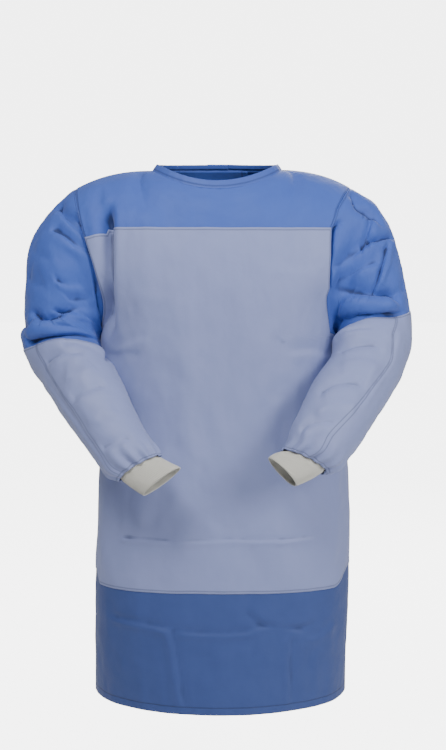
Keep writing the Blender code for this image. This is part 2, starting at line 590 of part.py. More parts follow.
class Sleeve:
    """A sleeve as a smooth tube, read by angle and by the distance down it from the armhole."""

    def __init__(self, name, sections, sign):
        self.name, self.sections, self.sign = name, sections, sign
        self.folds = [fold for fold in SLEEVE_FOLDS if fold.sleeve == name]
        outers = np.array([(row.outer_x, row.y, row.outer_z) for row in sections])
        inners = np.array([(row.inner_x, row.y, row.inner_z) for row in sections])
        self.middles, self.halves = (outers + inners) / 2, (outers - inners) / 2
        fronts = unit(np.cross(calm_ways(self.middles), self.halves))
        fronts = np.where(fronts[:, 1:2] > 0, -fronts, fronts)
        self.fronts = fronts * np.array([row.half_depth for row in sections])[:, None]
        self.turns, self.hole, self.hole_way = armhole_loop(sign)
        along = unit(np.roll(self.hole, -1, axis=0) - np.roll(self.hole, 1, axis=0))
        away = unit(np.cross(along, self.hole_way))
        towards = self.middles[0] - self.hole.mean(axis=0)
        self.away = -away if (away @ towards).sum() < 0 else away
        lines = np.concatenate([[self.hole[0]], (outers + self.middles) / 2])
        lines[0] = (self.hole[0] + self.hole.mean(axis=0)) / 2
        steps = np.linalg.norm(np.diff(lines, axis=0), axis=1)
        self.keys = np.concatenate([[0.0], np.cumsum(steps)])
        self.end = self.keys[SLEEVE_END_STATION]

    def at_hole(self, turns, values):
        """Reads one of the armhole's lists between its corners."""
        return np.stack([np.interp(turns, self.turns, values[:, k], period=360.0) for k in range(3)], axis=-1)

    def ring_points(self, turns):
        """Every section's points at the given angles, the armhole first."""
        hole, away = self.at_hole(turns, self.hole), self.at_hole(turns, self.away)
        angle = np.radians(turns)
        cos, sin = np.cos(angle)[None, :, None], np.sin(angle)[None, :, None]
        rest = self.middles[:, None, :] + cos * self.halves[:, None, :] + sin * self.fronts[:, None, :]
        return np.concatenate([(hole + away * SEAM_GAP)[None], rest]), away

    def base(self, turns, down):
        """The tube without folds."""
        turns, down = np.broadcast_arrays(np.asarray(turns, float), np.asarray(down, float))
        flat_turns, flat = turns.ravel(), np.clip(down.ravel(), 0.0, self.keys[-1])
        rings, away = self.ring_points(flat_turns)
        slopes = np.gradient(rings, self.keys, axis=0)
        first = np.linalg.norm(rings[1] - rings[0], axis=-1, keepdims=True) / self.keys[1]
        slopes[0] = away * first
        i = np.clip(np.searchsorted(self.keys, flat, side="right") - 1, 0, len(self.keys) - 2)
        step = (self.keys[i + 1] - self.keys[i])[:, None]
        t = (flat - self.keys[i])[:, None] / step
        pick = np.arange(len(flat))
        made = (
            (2 * t**3 - 3 * t**2 + 1) * rings[i, pick]
            + (t**3 - 2 * t**2 + t) * step * slopes[i, pick]
            + (3 * t**2 - 2 * t**3) * rings[i + 1, pick]
            + (t**3 - t**2) * step * slopes[i + 1, pick]
        )
        return made.reshape(*turns.shape, 3)

    def outward(self, turns, down, place):
        down = np.clip(down, 0.003, self.keys[-1] - 0.003)
        around = place(turns + 0.5, down) - place(turns - 0.5, down)
        along = place(turns, down + 0.001) - place(turns, down - 0.001)
        return unit(np.cross(around, along)) * self.sign

    def fold_lift(self, turns, down):
        total = np.zeros(np.broadcast(turns, down).shape)
        for fold in self.folds:
            off = (turns - fold.angle + 180.0) % 360.0 - 180.0
            line = fold.at + fold.slant * off / 90.0
            window = smoothstep(1.25 - np.abs(off) / fold.spread)
            total = total + fold.depth * np.exp(-(((down - line) / fold.width) ** 2)) * window
        gather = smoothstep((down - self.end + GATHER_LENGTH) / (GATHER_LENGTH * 0.8)) * (down <= self.end)
        step = 0.002
        down = np.clip(down, step, self.keys[-1] - step)
        stretch = np.linalg.norm(self.base(turns, down + step) - self.base(turns, down - step), axis=-1) / (2 * step)
        total = total * np.clip(stretch, 0.0, 1.0) ** 1.5 * smoothstep(down / 0.05)
        return total + GATHER_DEPTH * gather * np.sin(np.radians(turns) * GATHERS)

    def place(self, turns, down):
        lift = self.fold_lift(turns, down)
        return self.base(turns, down) + self.outward(turns, down, self.base) * lift[..., None]

    def normal(self, turns, down):
        found = self.outward(turns, down, self.place)
        at_end = (np.abs(down - self.end) < 0.004)[..., None]
        found = np.where(at_end, self.outward(turns, down, self.base), found)
        near_hole = (1.0 - smoothstep(down / 0.010))[..., None]
        return unit(self.at_hole(turns, self.hole_way) * near_hole + found * (1.0 - near_hole))

    def wall(self, name, downs, material, lift=0.0, cloth=CLOTH):
        turns, down = np.meshgrid(self.turns, downs)
        points, ways = self.place(turns, down), self.normal(turns, down)
        outer, inner = points + ways * lift, points + ways * (lift - cloth)
        return build_wall(name, outer, inner, material, around=True, guide=points)


def add_sleeve(name, sections, sign, blue, pale, knit):
    sleeve = Sleeve(name, sections, sign)
    seam, end = sleeve.keys[SLEEVE_SEAM_STATION], sleeve.keys[SLEEVE_END_STATION]
    upper = np.linspace(0.0, seam, UPPER_SLEEVE_ROWS + 1)
    upper = np.concatenate([[0.0, 0.011], upper[1:], [seam + SLEEVE_LAP]])
    sleeve.wall(f"sleeve_{name}_upper", upper, blue)
    lower = np.linspace(seam + SLEEVE_LAP, end, LOWER_SLEEVE_ROWS + 1)
    sleeve.wall(f"sleeve_{name}_lower", np.concatenate([[seam], lower]), pale, lift=LAP_LIFT)
    cuff = np.linspace(end + SEAM_GAP, sleeve.keys[CUFF_END_STATION], CUFF_ROWS + 1)
    sleeve.wall(f"cuff_{name}", cuff, knit, cloth=CUFF_CLOTH)


def binding_degrees():
    """The binding's corners, at the panels' own columns: 0 is the middle of the front, 180 of the back."""
    front = np.linspace(0.0, 90.0, NECK_COLUMNS + 1)
    at_top = np.array([YOKE_TOP_V])
    behind = np.concatenate([covered_columns(at_top, OVERLAP_PLACES[OVERLAP_PLACES >= -BINDING_LAP_PLACE])[0],
                             outside_columns(at_top, BACK_NECK_COLUMNS - 1)[0]])
    half = np.concatenate([front, 180.0 - behind[::-1] / NECK_SHARE * 90.0])
    return np.concatenate([-half[:0:-1], half])


def add_binding(blue):
    """The neck binding: a narrow band from the seam to its free edge, lapped at the back."""
    degrees = binding_degrees()
    seam, edge = binding_line(degrees, neck_seam), binding_line(degrees, binding_edge)
    up = unit(edge - seam)
    out = unit(np.cross(unit(np.gradient(seam, axis=0)), up))
    out = np.where(((out[:, :2] * seam[:, :2]).sum(axis=1) < 0)[:, None], -out, out)
    top = YOKE_SEAM_Z + YOKE_RISE
    front_s = np.clip(degrees / 90.0, -1.0, 1.0) * NECK_SHARE
    back_s = np.sign(degrees) * (180.0 - np.abs(degrees)) / 90.0 * NECK_SHARE
    front_way, back_way = FRONT_NORMAL(front_s, top + 0.0 * front_s), BACK_NORMAL(back_s, top + 0.0 * back_s)
    share = smoothstep((np.abs(degrees) - 80.0) / 20.0)[:, None]
    panel_way = unit(front_way * (1.0 - share) + back_way * share)
    lapped = smoothstep((degrees - 105.0) / 45.0)[:, None] * (BINDING_CLOTH + 0.0005)
    outer, inner = [], []
    for share in (0.0, 0.5, 1.0):
        way = unit(panel_way * (1.0 - share) ** 2 + out * (1.0 - (1.0 - share) ** 2))
        line = seam + (edge - seam) * share + up * BINDING_GAP * (1.0 - share)
        outer.append(line + way * (lapped + 0.0006))
        inner.append(line + way * (lapped + 0.0006 - BINDING_CLOTH))
    return build_wall("neck_binding", np.stack(outer), np.stack(inner), blue)


def binding_line(degrees, line):
    """Reads a neckline all the way round: 0 is the middle of the front, 180 the middle of the back."""
    turn = np.radians((degrees + 180.0) % 360.0 - 180.0)
    front = line("front", np.clip(turn, -math.pi / 2, math.pi / 2))
    behind = np.sign(turn) * (math.pi - np.abs(turn))
    back = line("back", behind)
    return np.where((np.abs(turn) <= math.pi / 2)[:, None], front, back)


def add_tab(blue):
    """The neck tab lies over the free edge of the upper back panel."""
    rows = back_heights()
    rows = rows[(rows > TAB_LOW_V - 1e-6) & (rows < TAB_TOP_V + 1e-6)]
    places = OVERLAP_PLACES[OVERLAP_PLACES <= TAB_START]
    s = np.concatenate([-outside_columns(rows, 1), covered_columns(rows, places)], axis=1)
    v = np.repeat(rows[:, None], s.shape[1], axis=1)
    wall_on("neck_tab", BACK, BACK_NORMAL, s, v, blue, lift=LOOSE_LIFT + LAP_LIFT)


def add_ties(blue):
    """Two waist ties, the knot that joins them over the overlap, and its two hanging tails."""
    rows = np.array([TIE_Z - TIE_WIDTH / 2, TIE_Z + TIE_WIDTH / 2])
    places = OVERLAP_PLACES[OVERLAP_PLACES > 0.2]
    s = np.concatenate([covered_columns(rows, places), outside_columns(rows, BACK_COLUMNS - 1)], axis=1)
    v = np.repeat(rows[:, None], s.shape[1], axis=1)
    rest = TIE_CLOTH + SEAM_GAP
    wall_on("tie_left", BACK, BACK_NORMAL, s, v, blue, lift=back_lift(s) + rest, cloth=TIE_CLOTH)
    flap = LOOSE_LIFT * (1.0 - smoothstep((s - 0.30) / 0.40))
    wall_on("tie_right", BACK, BACK_NORMAL, -s, v, blue, lift=flap + rest, cloth=TIE_CLOTH)

    low = TIE_Z - KNOT_HEIGHT / 2
    heights = back_heights()
    hanging = heights[(heights > low - TAIL_LENGTH - 1e-6) & (heights < low + 1e-6)].copy()
    hanging[-1] -= SEAM_GAP
    for name, near, far in (("tie_tail_left", 0.04, 0.42), ("tie_tail_right", -0.04, -0.40)):
        s = covered_columns(hanging, (near, near + (far - near) / 2, far))
        v = np.repeat(hanging[:, None], 3, axis=1)
        wall_on(name, BACK, BACK_NORMAL, s, v, blue, lift=LOOSE_LIFT + rest + 0.0006, cloth=TIE_CLOTH)

    rows = np.array([low, TIE_Z - TIE_WIDTH / 2, TIE_Z + TIE_WIDTH / 2, TIE_Z + KNOT_HEIGHT / 2])
    places = np.array([-0.235, -0.12, 0.0, 0.12, 0.235])
    s = covered_columns(rows, places)
    v = np.repeat(rows[:, None], len(places), axis=1)
    round_across = 1.0 - (places / 0.30)[None, :] ** 2
    round_up = np.array([0.55, 1.0, 1.0, 0.55])[:, None]
    bulge = KNOT_BULGE * round_across * round_up
    wall_on("tie_knot", BACK, BACK_NORMAL, s, v, blue, lift=LOOSE_LIFT + SEAM_GAP + bulge, cloth=bulge)


def main():
    clear_scene()
    blue = cloth_material("blue_cloth", SHADE_BLUE, 0.75)
    pale = cloth_material("pale_cloth", SHADE_PALE, 0.70)
    knit = cloth_material("white_knit", SHADE_KNIT, 0.90)
    add_front(blue, pale)
    add_backs(blue)
    for name, sections, sign in (("right", RIGHT_SLEEVE, -1.0), ("left", LEFT_SLEEVE, 1.0)):
        add_sleeve(name, sections, sign, blue, pale, knit)
    add_binding(blue)
    add_tab(blue)
    add_ties(blue)


main()
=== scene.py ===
# %% [markdown]
# # A surgical gown in its worn shape
#
# This lesson dresses a plain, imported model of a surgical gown. The plain model is a set of smooth cloth
# walls. Each one gets a fine sheet of cloth in its place, with the folds, seams and finish of the real gown.
# Sizes are in metres, apart from the tables, which are in millimetres. The gown faces -Y, and its neck is at
# the origin.

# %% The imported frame
import json
import math
from collections import namedtuple
from functools import partial

import bpy
import numpy as np
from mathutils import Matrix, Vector, noise

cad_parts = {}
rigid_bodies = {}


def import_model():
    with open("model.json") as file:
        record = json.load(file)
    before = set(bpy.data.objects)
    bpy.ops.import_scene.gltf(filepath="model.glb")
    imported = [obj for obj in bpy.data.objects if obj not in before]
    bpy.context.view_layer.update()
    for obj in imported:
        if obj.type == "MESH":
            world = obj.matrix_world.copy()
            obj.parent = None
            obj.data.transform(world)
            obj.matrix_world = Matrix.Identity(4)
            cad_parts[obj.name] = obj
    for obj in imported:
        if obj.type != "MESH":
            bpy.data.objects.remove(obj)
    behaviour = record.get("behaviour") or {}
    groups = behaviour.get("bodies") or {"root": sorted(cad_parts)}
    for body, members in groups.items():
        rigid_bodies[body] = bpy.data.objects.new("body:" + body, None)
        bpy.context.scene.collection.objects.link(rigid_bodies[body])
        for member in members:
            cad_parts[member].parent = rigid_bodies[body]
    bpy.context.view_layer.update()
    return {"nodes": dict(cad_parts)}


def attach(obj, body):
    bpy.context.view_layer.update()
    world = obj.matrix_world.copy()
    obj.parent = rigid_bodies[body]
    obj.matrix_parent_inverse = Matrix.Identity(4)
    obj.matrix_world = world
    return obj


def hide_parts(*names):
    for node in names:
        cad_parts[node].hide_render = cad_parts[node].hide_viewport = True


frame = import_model()
nodes = frame["nodes"]
print("CAD nodes:", len(nodes))

# %% [markdown]
# ## Camera
#
# The picture was taken from the front at chest height, about three metres away, looking slightly down. A
# camera added with an operator gets that place, and a lens that gives the same size in the frame.

# %% Camera
CAMERA_PLACE = (0.006, -2.900, -0.176)
CAMERA_TILT_DEG = 84.706
CAMERA_LENS_MM = 64.75
SENSOR_WIDTH_MM = 36.0
NEAREST_SEEN = 0.02

bpy.ops.object.camera_add(location=CAMERA_PLACE, rotation=(math.radians(CAMERA_TILT_DEG), 0.0, 0.0))
camera = bpy.context.object
camera.name = "camera"
camera.data.lens = CAMERA_LENS_MM
camera.data.sensor_width = SENSOR_WIDTH_MM
camera.data.clip_start = NEAREST_SEEN
bpy.context.scene.camera = camera

# %% [markdown]
# ## Room
#
# The gown hangs in front of plain white, as in the picture. One wide plane is the floor. It and the sky look
# white to the camera alone, so that they don't light the gown from below or wash out its folds.

# %% Floor
FLOOR_Z = -1.400
FLOOR_SIZE = 40.0
WHITE_GLOW = 5.0
PAPER_WHITE = (0.9, 0.9, 0.9, 1.0)
PURE_WHITE = (1.0, 1.0, 1.0, 1.0)


def glow_for_camera(tree, strength_socket, plain, seen):
    """The strength is plain for light that falls on things, and seen for what the camera looks at."""
    camera_ray = tree.nodes.new("ShaderNodeLightPath").outputs["Is Camera Ray"]
    mixed = tree.nodes.new("ShaderNodeMapRange")
    tree.links.new(camera_ray, mixed.inputs["Value"])
    mixed.inputs["To Min"].default_value = plain
    mixed.inputs["To Max"].default_value = seen
    tree.links.new(mixed.outputs[0], strength_socket)


bpy.ops.object.select_all(action="DESELECT")
bpy.ops.mesh.primitive_plane_add(size=FLOOR_SIZE, location=(0.0, 0.0, FLOOR_Z))
floor = bpy.context.object
floor.name = "floor"
bpy.ops.object.transform_apply(location=True, rotation=False, scale=False)
paper = bpy.data.materials.new("white_paper")
paper.use_nodes = True
paper_shader = paper.node_tree.nodes["Principled BSDF"]
paper_shader.inputs["Base Color"].default_value = PAPER_WHITE
paper_shader.inputs["Roughness"].default_value = 0.9
paper_shader.inputs["Emission Color"].default_value = PURE_WHITE
glow_for_camera(paper.node_tree, paper_shader.inputs["Emission Strength"], 0.0, WHITE_GLOW)
floor.data.materials.append(paper)
print("floor at", FLOOR_Z)

# %% [markdown]
# ## Light
#
# Cloth reads best in broad, soft light that comes from one side more than from the other. A large lamp
# above and in front on the left gives the folds their shape, a weaker one on the right opens the shadows,
# one overhead draws the shoulders, and one behind lights the back of the gown.

# %% Lamps and sky
Lamp = namedtuple("Lamp", "name place aim size power")
LAMPS = (
    Lamp("key_lamp", (-0.7, -1.8, 1.5), (0.0, 0.0, -0.10), 0.8, 52.0),
    Lamp("fill_lamp", (1.8, -1.8, 0.5), (0.1, 0.0, -0.25), 1.1, 47.0),
    Lamp("top_lamp", (0.1, -0.5, 1.6), (0.0, 0.0, -0.2), 1.4, 5.0),
    Lamp("back_lamp", (0.9, 2.6, 1.2), (0.0, 0.0, -0.5), 1.6, 60.0),
)
SKY_STRENGTH = 0.30


def add_lamp(lamp):
    aim = (Vector(lamp.aim) - Vector(lamp.place)).to_track_quat("-Z", "Y").to_euler()
    bpy.ops.object.light_add(type="AREA", location=lamp.place, rotation=aim)
    made = bpy.context.object
    made.name = lamp.name
    made.data.size = lamp.size
    made.data.energy = lamp.power


for lamp in LAMPS:
    add_lamp(lamp)
world = bpy.context.scene.world or bpy.data.worlds.new("sky")
bpy.context.scene.world = world
world.use_nodes = True
sky = world.node_tree.nodes["Background"]
sky.inputs["Color"].default_value = PURE_WHITE
glow_for_camera(world.node_tree, sky.inputs["Strength"], SKY_STRENGTH, WHITE_GLOW)
print("lamps:", len(LAMPS))

# %% [markdown]
# ## The gown's form
#
# A worn gown is a few tubes: the body and two sleeves. The tables below give the same sections as the plain
# model, one row for each height or each place along the arm, and smooth curves run through them. A table is
# written in millimetres, and its lengths are turned into metres once.

# %% Sizes of the body
YOKE_SEAM_Z = -0.130
HEM_SEAM_Z = -0.882
HEM_Z = -1.135
UNDERARM_Z = -0.363
YOKE_RISE = 0.150
TOP_V = YOKE_SEAM_Z + YOKE_RISE

NOT_LENGTHS = ("squareness", "roll", "lean", "share", "turn", "turn0", "turn1", "turn2", "spread")


def from_mm(kind, *rows):
    """A table of named rows, with its lengths turned from millimetres into metres."""
    made = []
    for row in rows:
        made.append(kind(*(x if name in NOT_LENGTHS else x / 1000.0 for name, x in zip(kind._fields, row))))
    return tuple(made)


BodySection = namedtuple("BodySection", "z centre_x half_width front_depth back_depth squareness reach")
BODY_SECTIONS = from_mm(
    BodySection,
    (-1160, 0, 275, 190, 186, 1.98, 275),
    (-1135, 0, 275, 189, 185, 2.0, 275),
    (-1000, 2, 275, 182, 180, 2.4, 275),
    (-882, 4, 275, 176, 174, 2.7, 275),
    (-740, 8, 272, 170, 168, 2.65, 272),
    (-630, 9, 266, 165, 162, 2.5, 266),
    (-520, 4, 253, 158, 158, 2.35, 253),
    (-430, -3, 254, 156, 160, 2.35, 254),
    (-363, -3, 253.5, 156, 163, 2.4, 253.5),
    (-290, -2, 258, 156, 165, 2.5, 243),
    (-217, -4, 310, 150, 164, 2.5, 256),
    (-147, -6, 328, 138, 158, 2.5, 276),
    (-130, -6, 330, 134, 155, 2.5, 281),
    (-100, -6, 334, 126, 150, 2.5, 288),
)

SHOULDER_TIP_X = 0.294
SHOULDER_TIP_Y = 0.004
SHOULDER_TIP_Z = -0.046
SHOULDER_CENTRE_X = -0.014
SHOULDER_FALL_POWER = 2.4
NECK_CENTRE_X = -0.006
NECK_SHARE = 0.44
NECK_ARRIVAL = math.radians(50.0)

Neckline = namedtuple("Neckline", "half_width front_y back_y side_z front_z back_z")
NECK_SEAM = Neckline(0.136, -0.098, 0.084, -0.008, -0.048, -0.004)
BINDING_EDGE = Neckline(0.128, -0.093, 0.079, 0.004, -0.034, 0.008)

# %% Curves through a table


def smoothstep(t):
    t = np.clip(t, 0.0, 1.0)
    return t * t * (3.0 - 2.0 * t)


def unit(vectors):
    length = np.linalg.norm(vectors, axis=-1, keepdims=True)
    return vectors / np.maximum(length, 1e-12)


def bridge(t, start, start_way, end, end_way):
    """A smooth curve from start to end, which leaves and arrives the given ways."""
    return (
        (2 * t**3 - 3 * t**2 + 1) * start
        + (t**3 - 2 * t**2 + t) * start_way
        + (3 * t**2 - 2 * t**3) * end
        + (t**3 - t**2) * end_way
    )


def table_curve(rows, key, column, at):
    """A smooth curve through one column of a table, read where the key column equals at."""
    keys = np.array([getattr(row, key) for row in rows])
    values = np.array([getattr(row, column) for row in rows])
    slopes = np.gradient(values, keys)
    at = np.clip(at, keys[0], keys[-1])
    i = np.clip(np.searchsorted(keys, at) - 1, 0, len(keys) - 2)
    step = keys[i + 1] - keys[i]
    t = (at - keys[i]) / step
    return bridge(t, values[i], step * slopes[i], values[i + 1], step * slopes[i + 1])


# %% [markdown]
# ## The body as a surface
#
# Below the chest seam the body is a stack of rounded rings. Above it the cloth runs up over the chest and
# closes at the shoulder line and the neckline. A point is named by s, from -1 at one side to 1 at the other,
# and by v, which is its height and above the chest seam runs on over the shoulder.

# %% Rings, neckline and shoulders


def body_ring(side, s, z):
    depth_column = "front_depth" if side == "front" else "back_depth"
    centre, half_width, depth, power, reach = (
        table_curve(BODY_SECTIONS, "z", column, z)
        for column in ("centre_x", "half_width", depth_column, "squareness", "reach")
    )
    ratio = np.clip(reach / half_width, 0.0, 1.0)
    ratio = np.where(z <= UNDERARM_Z, 1.0, ratio)
    last_angle = np.arcsin(ratio ** (power / 2.0))
    across = np.clip(np.abs(s), 0.0, 1.0)
    start = across ** (power / 2.0)
    even = start / (start + (1.0 - across) ** (power / 2.0))
    mix = smoothstep((ratio - 0.90) / 0.10)
    angle = last_angle * ((1.0 - mix) * start + mix * even)
    x = centre + np.sign(s) * half_width * np.sin(angle) ** (2.0 / power)
    y = depth * np.cos(angle) ** (2.0 / power)
    return np.stack([x, -y if side == "front" else y, z + 0.0 * x], axis=-1)


def neck_curve(side, turn, line):
    end_y, end_z = (line.front_y, line.front_z) if side == "front" else (line.back_y, line.back_z)
    x = NECK_CENTRE_X + line.half_width * np.sin(turn)
    z = line.side_z + (end_z - line.side_z) * np.cos(turn) ** 2
    return np.stack([x, end_y * np.cos(turn), z], axis=-1)


def top_edge(side, s):
    across = np.abs(s)
    sign = np.where(s < 0, -1.0, 1.0)
    neck = neck_curve(side, sign * np.minimum(across / NECK_SHARE, 1.0) * math.pi / 2, NECK_SEAM)
    out = np.clip((across - NECK_SHARE) / (1.0 - NECK_SHARE), 0.0, 1.0)
    neck_x = NECK_CENTRE_X + sign * NECK_SEAM.half_width
    tip_x = SHOULDER_CENTRE_X + sign * SHOULDER_TIP_X
    drop = (SHOULDER_TIP_Z - NECK_SEAM.side_z) * out**SHOULDER_FALL_POWER
    x = neck_x + (tip_x - neck_x) * out
    shoulder = np.stack([x, SHOULDER_TIP_Y * out, NECK_SEAM.side_z + drop], axis=-1)
    return np.where((across <= NECK_SHARE)[..., None], neck, shoulder)


def top_way(side, s):
    across = np.abs(s)
    rising = smoothstep(across / NECK_SHARE)
    turn = NECK_ARRIVAL * rising * (1.0 - smoothstep((across - NECK_SHARE) / 0.24))
    back = 1.0 if side == "front" else -1.0
    lean = 1.02 * (1.0 - rising)
    return unit(np.stack([-np.sign(s) * np.sin(turn), back * np.cos(turn), lean + 0.0 * turn], axis=-1))


def body_base(side, s, v):
    s, v = np.broadcast_arrays(np.asarray(s, float), np.asarray(v, float))
    below = body_ring(side, s, np.minimum(v, YOKE_SEAM_Z))
    start = body_ring(side, s, np.full_like(v, YOKE_SEAM_Z))
    start_way = unit(start - body_ring(side, s, np.full_like(v, YOKE_SEAM_Z - 0.004)))
    end, end_way = top_edge(side, s), top_way(side, s)
    span = np.linalg.norm(end - start, axis=-1, keepdims=True)
    t = np.clip((v - YOKE_SEAM_Z) / YOKE_RISE, 0.0, 1.0)[..., None]
    above = bridge(t, start, span * start_way, end, span * end_way)
    return np.where((v > YOKE_SEAM_Z)[..., None], above, below)


# %% [markdown]
# ## Folds and creases
#
# Folds are given one by one. Each crease is a bent line through three points, with its width and its depth,
# below zero for a trough. Its roll is the share of the depth that stands up as a ridge on one side of it, to
# the left of its way, or to the right for a negative roll. The ridge leans over the trough, as pushed cloth
# does, so one side of each fold is steep and the other gentle. Each crease fades out towards its two ends.

# %% Creases
Crease = namedtuple("Crease", "a0 b0 a1 b1 a2 b2 width depth roll lean", defaults=(0.6,))


def crease_line(crease, steps=8):
    """Points along the crease: a curve through its three named points."""
    first, middle, last = (np.array(p) for p in (crease[0:2], crease[2:4], crease[4:6]))
    control = 2.0 * middle - (first + last) / 2.0
    t = np.linspace(0.0, 1.0, steps + 1)[:, None]
    return (1 - t) ** 2 * first + 2 * t * (1 - t) * control + t**2 * last


def nearest_on_line(line, a, b):
    """For each point: its distance from the line, above zero on the left, how far along, and the way left."""
    nearest = np.full(a.shape, np.inf)
    signed, along, left_a, left_b = (np.zeros(a.shape) for _ in range(4))
    count = len(line) - 1
    for k in range(count):
        way = line[k + 1] - line[k]
        length = math.hypot(*way) + 1e-9
        held = np.clip(((a - line[k, 0]) * way[0] + (b - line[k, 1]) * way[1]) / length**2, 0.0, 1.0)
        da, db = a - line[k, 0] - held * way[0], b - line[k, 1] - held * way[1]
        distance = np.hypot(da, db)
        closer = distance < nearest
        nearest = np.where(closer, distance, nearest)
        signed = np.where(closer, distance * np.sign(way[0] * db - way[1] * da), signed)
        along = np.where(closer, (k + held) / count, along)
        left_a = np.where(closer, -way[1] / length, left_a)
        left_b = np.where(closer, way[0] / length, left_b)
    return signed, along, left_a, left_b


def crease_shift(creases, a, b):
    """How far the creases move the cloth at (a, b), in metres: outwards, along a and along b."""
    a, b = np.broadcast_arrays(a, b)
    shift = np.zeros((3, *a.shape))
    for crease in creases:
        line = crease_line(crease)
        width, reach = crease.width, 4.5 * crease.width
        low, high = line.min(axis=0) - reach, line.max(axis=0) + reach
        near = (a > low[0]) & (a < high[0]) & (b > low[1]) & (b < high[1])
        if not near.any():
            continue
        signed, along, left_a, left_b = nearest_on_line(line, a[near], b[near])
        turned = 1.0 if crease.roll >= 0.0 else -1.0
        d = signed * turned
        fade = smoothstep(along / 0.16) * smoothstep((1.0 - along) / 0.20)
        fade = fade * (0.88 + 0.12 * np.sin(11.0 * along + 60.0 * crease.a0))
        trough = np.exp(-((d / np.where(d > 0.0, width, 1.7 * width)) ** 2))
        ridge = np.exp(-(((d - 1.9 * width) / (1.1 * width)) ** 2))
        lift = crease.depth * fade * (trough - abs(crease.roll) * ridge)
        leaning = np.exp(-(((d - 1.2 * width) / (0.95 * width)) ** 2))
        push = -turned * crease.lean * abs(crease.depth) * fade * leaning
        shift[:, near] += np.stack([lift, push * left_a, push * left_b])
    return shift


def rumple(points, size, stretch, seed):
    """Small uneven rumples: noise read at each point, size metres across and longer the stretched way."""
    scale = np.array(stretch) / size
    found = [noise.turbulence(Vector(p * scale) + Vector((seed, 2.0 * seed, 0.0)), 3, False) for p in points]
    return np.array(found) - 0.35

# %% [markdown]
# ## Where the folds lie on the body
#
# The front carries a deep tuck beside the right armhole, a step at the left one, and the flat creases left by
# the way the gown was packed: two level lines, at the thighs and in the skirt, and four upright ones. Softer
# pulls run from the neck and in towards the waist. The back has looser upright folds, shaped by the ties.

# %% Creases of the front and back
FRONT_CREASES = from_mm(
    Crease,
    (-232, -70, -229, -220, -235, -370, 10.5, -30, 0.1, 0.05),
    (-247, -40, -250, -90, -252, -150, 8, -2, 0.3),
    (-150, -70, -160, -200, -150, -330, 30, 5, 0.0),
    (-214, -778, -156, -776, -94, -779, 4, 3, 0.6),
    (-110, -780, 20, -775, 214, -776, 4.2, 1.8, 0.6),
    (110, -778, 160, -773, 205, -772, 4, 2, 0.5),
    (-240, -952, -164, -955, -100, -966, 6, 2.9, 0.75),
    (-110, -965, 13, -970, 85, -960, 5.5, 2.1, 0.8),
    (52, -906, 104, -955, 212, -950, 7.5, -3.2, 0.45),
    (66, -962, 112, -957, 182, -976, 6, 2.5, 0.6),
    (170, -975, 205, -985, 250, -955, 7, 2.2, 0.5),
    (-113, -945, -99, -1023, -80, -1150, 7, 3.2, 0.5),
    (142, -965, 139, -1046, 144, -1150, 6, 2.7, 0.55),
    (190, -1000, 188, -1060, 196, -1120, 7, -1.9, 0.3),
    (221, -860, 229, -989, 242, -1170, 11, 1.5, 0.3, 0.0),
    (-246, -870, -245, -960, -248, -1100, 11, 1.4, 0.3, 0.0),
    (-244, -560, -246, -720, -243, -870, 13, 3, 0.3, 0.2),
    (238, -500, 242, -690, 232, -870, 13, 3, 0.3, 0.2),
    (4, -735, -45, -803, -105, -880, 24, 3, 0.3),
    (26, -730, 62, -803, 100, -880, 22, -3.4, 0.3),
    (-64, -260, -67, -470, -62, -650, 20, 3.2, 0.4),
    (95, -310, 89, -470, 82, -610, 19, 2.2, 0.35),
    (18, -250, 12, -400, 20, -560, 18, -2.6, 0.3),
    (-128, -385, -60, -480, -10, -600, 20, -2.2, 0.3),
    (150, -440, 86, -505, 30, -600, 20, -1.8, -0.3),
    (-105, -560, -60, -610, -20, -640, 16, -1.8, 0.3),
    (128, -470, 112, -560, 118, -640, 12, 2.4, 0.4),
    (-79, -55, -98, -90, -130, -140, 14, -1.2, 0.4),
    (86, -58, 111, -90, 150, -130, 14, -1.2, -0.4),
    (-20, -58, -24, -100, -30, -150, 16, 1.8, 0.2),
    (-225, -392, -184, -372, -140, -358, 8, 1.8, 0.5),
    (-240, -398, -200, -390, -160, -392, 8, -2.2, 0.4),
    (235, -400, 190, -380, 130, -384, 9, -2, 0.4),
    (-190, -300, -150, -290, -90, -300, 12, -1.2, 0.3),
    (90, -210, 150, -225, 200, -215, 12, 1.1, 0.3),
    (-130, -620, -150, -690, -170, -750, 16, 3, 0.3),
    (130, -640, 160, -700, 175, -750, 16, 3, 0.3),
    (-40, -1000, -20, -1050, 0, -1100, 20, -2, 0.2),
    (40, -985, 60, -1030, 100, -1060, 14, 1.4, 0.3),
)
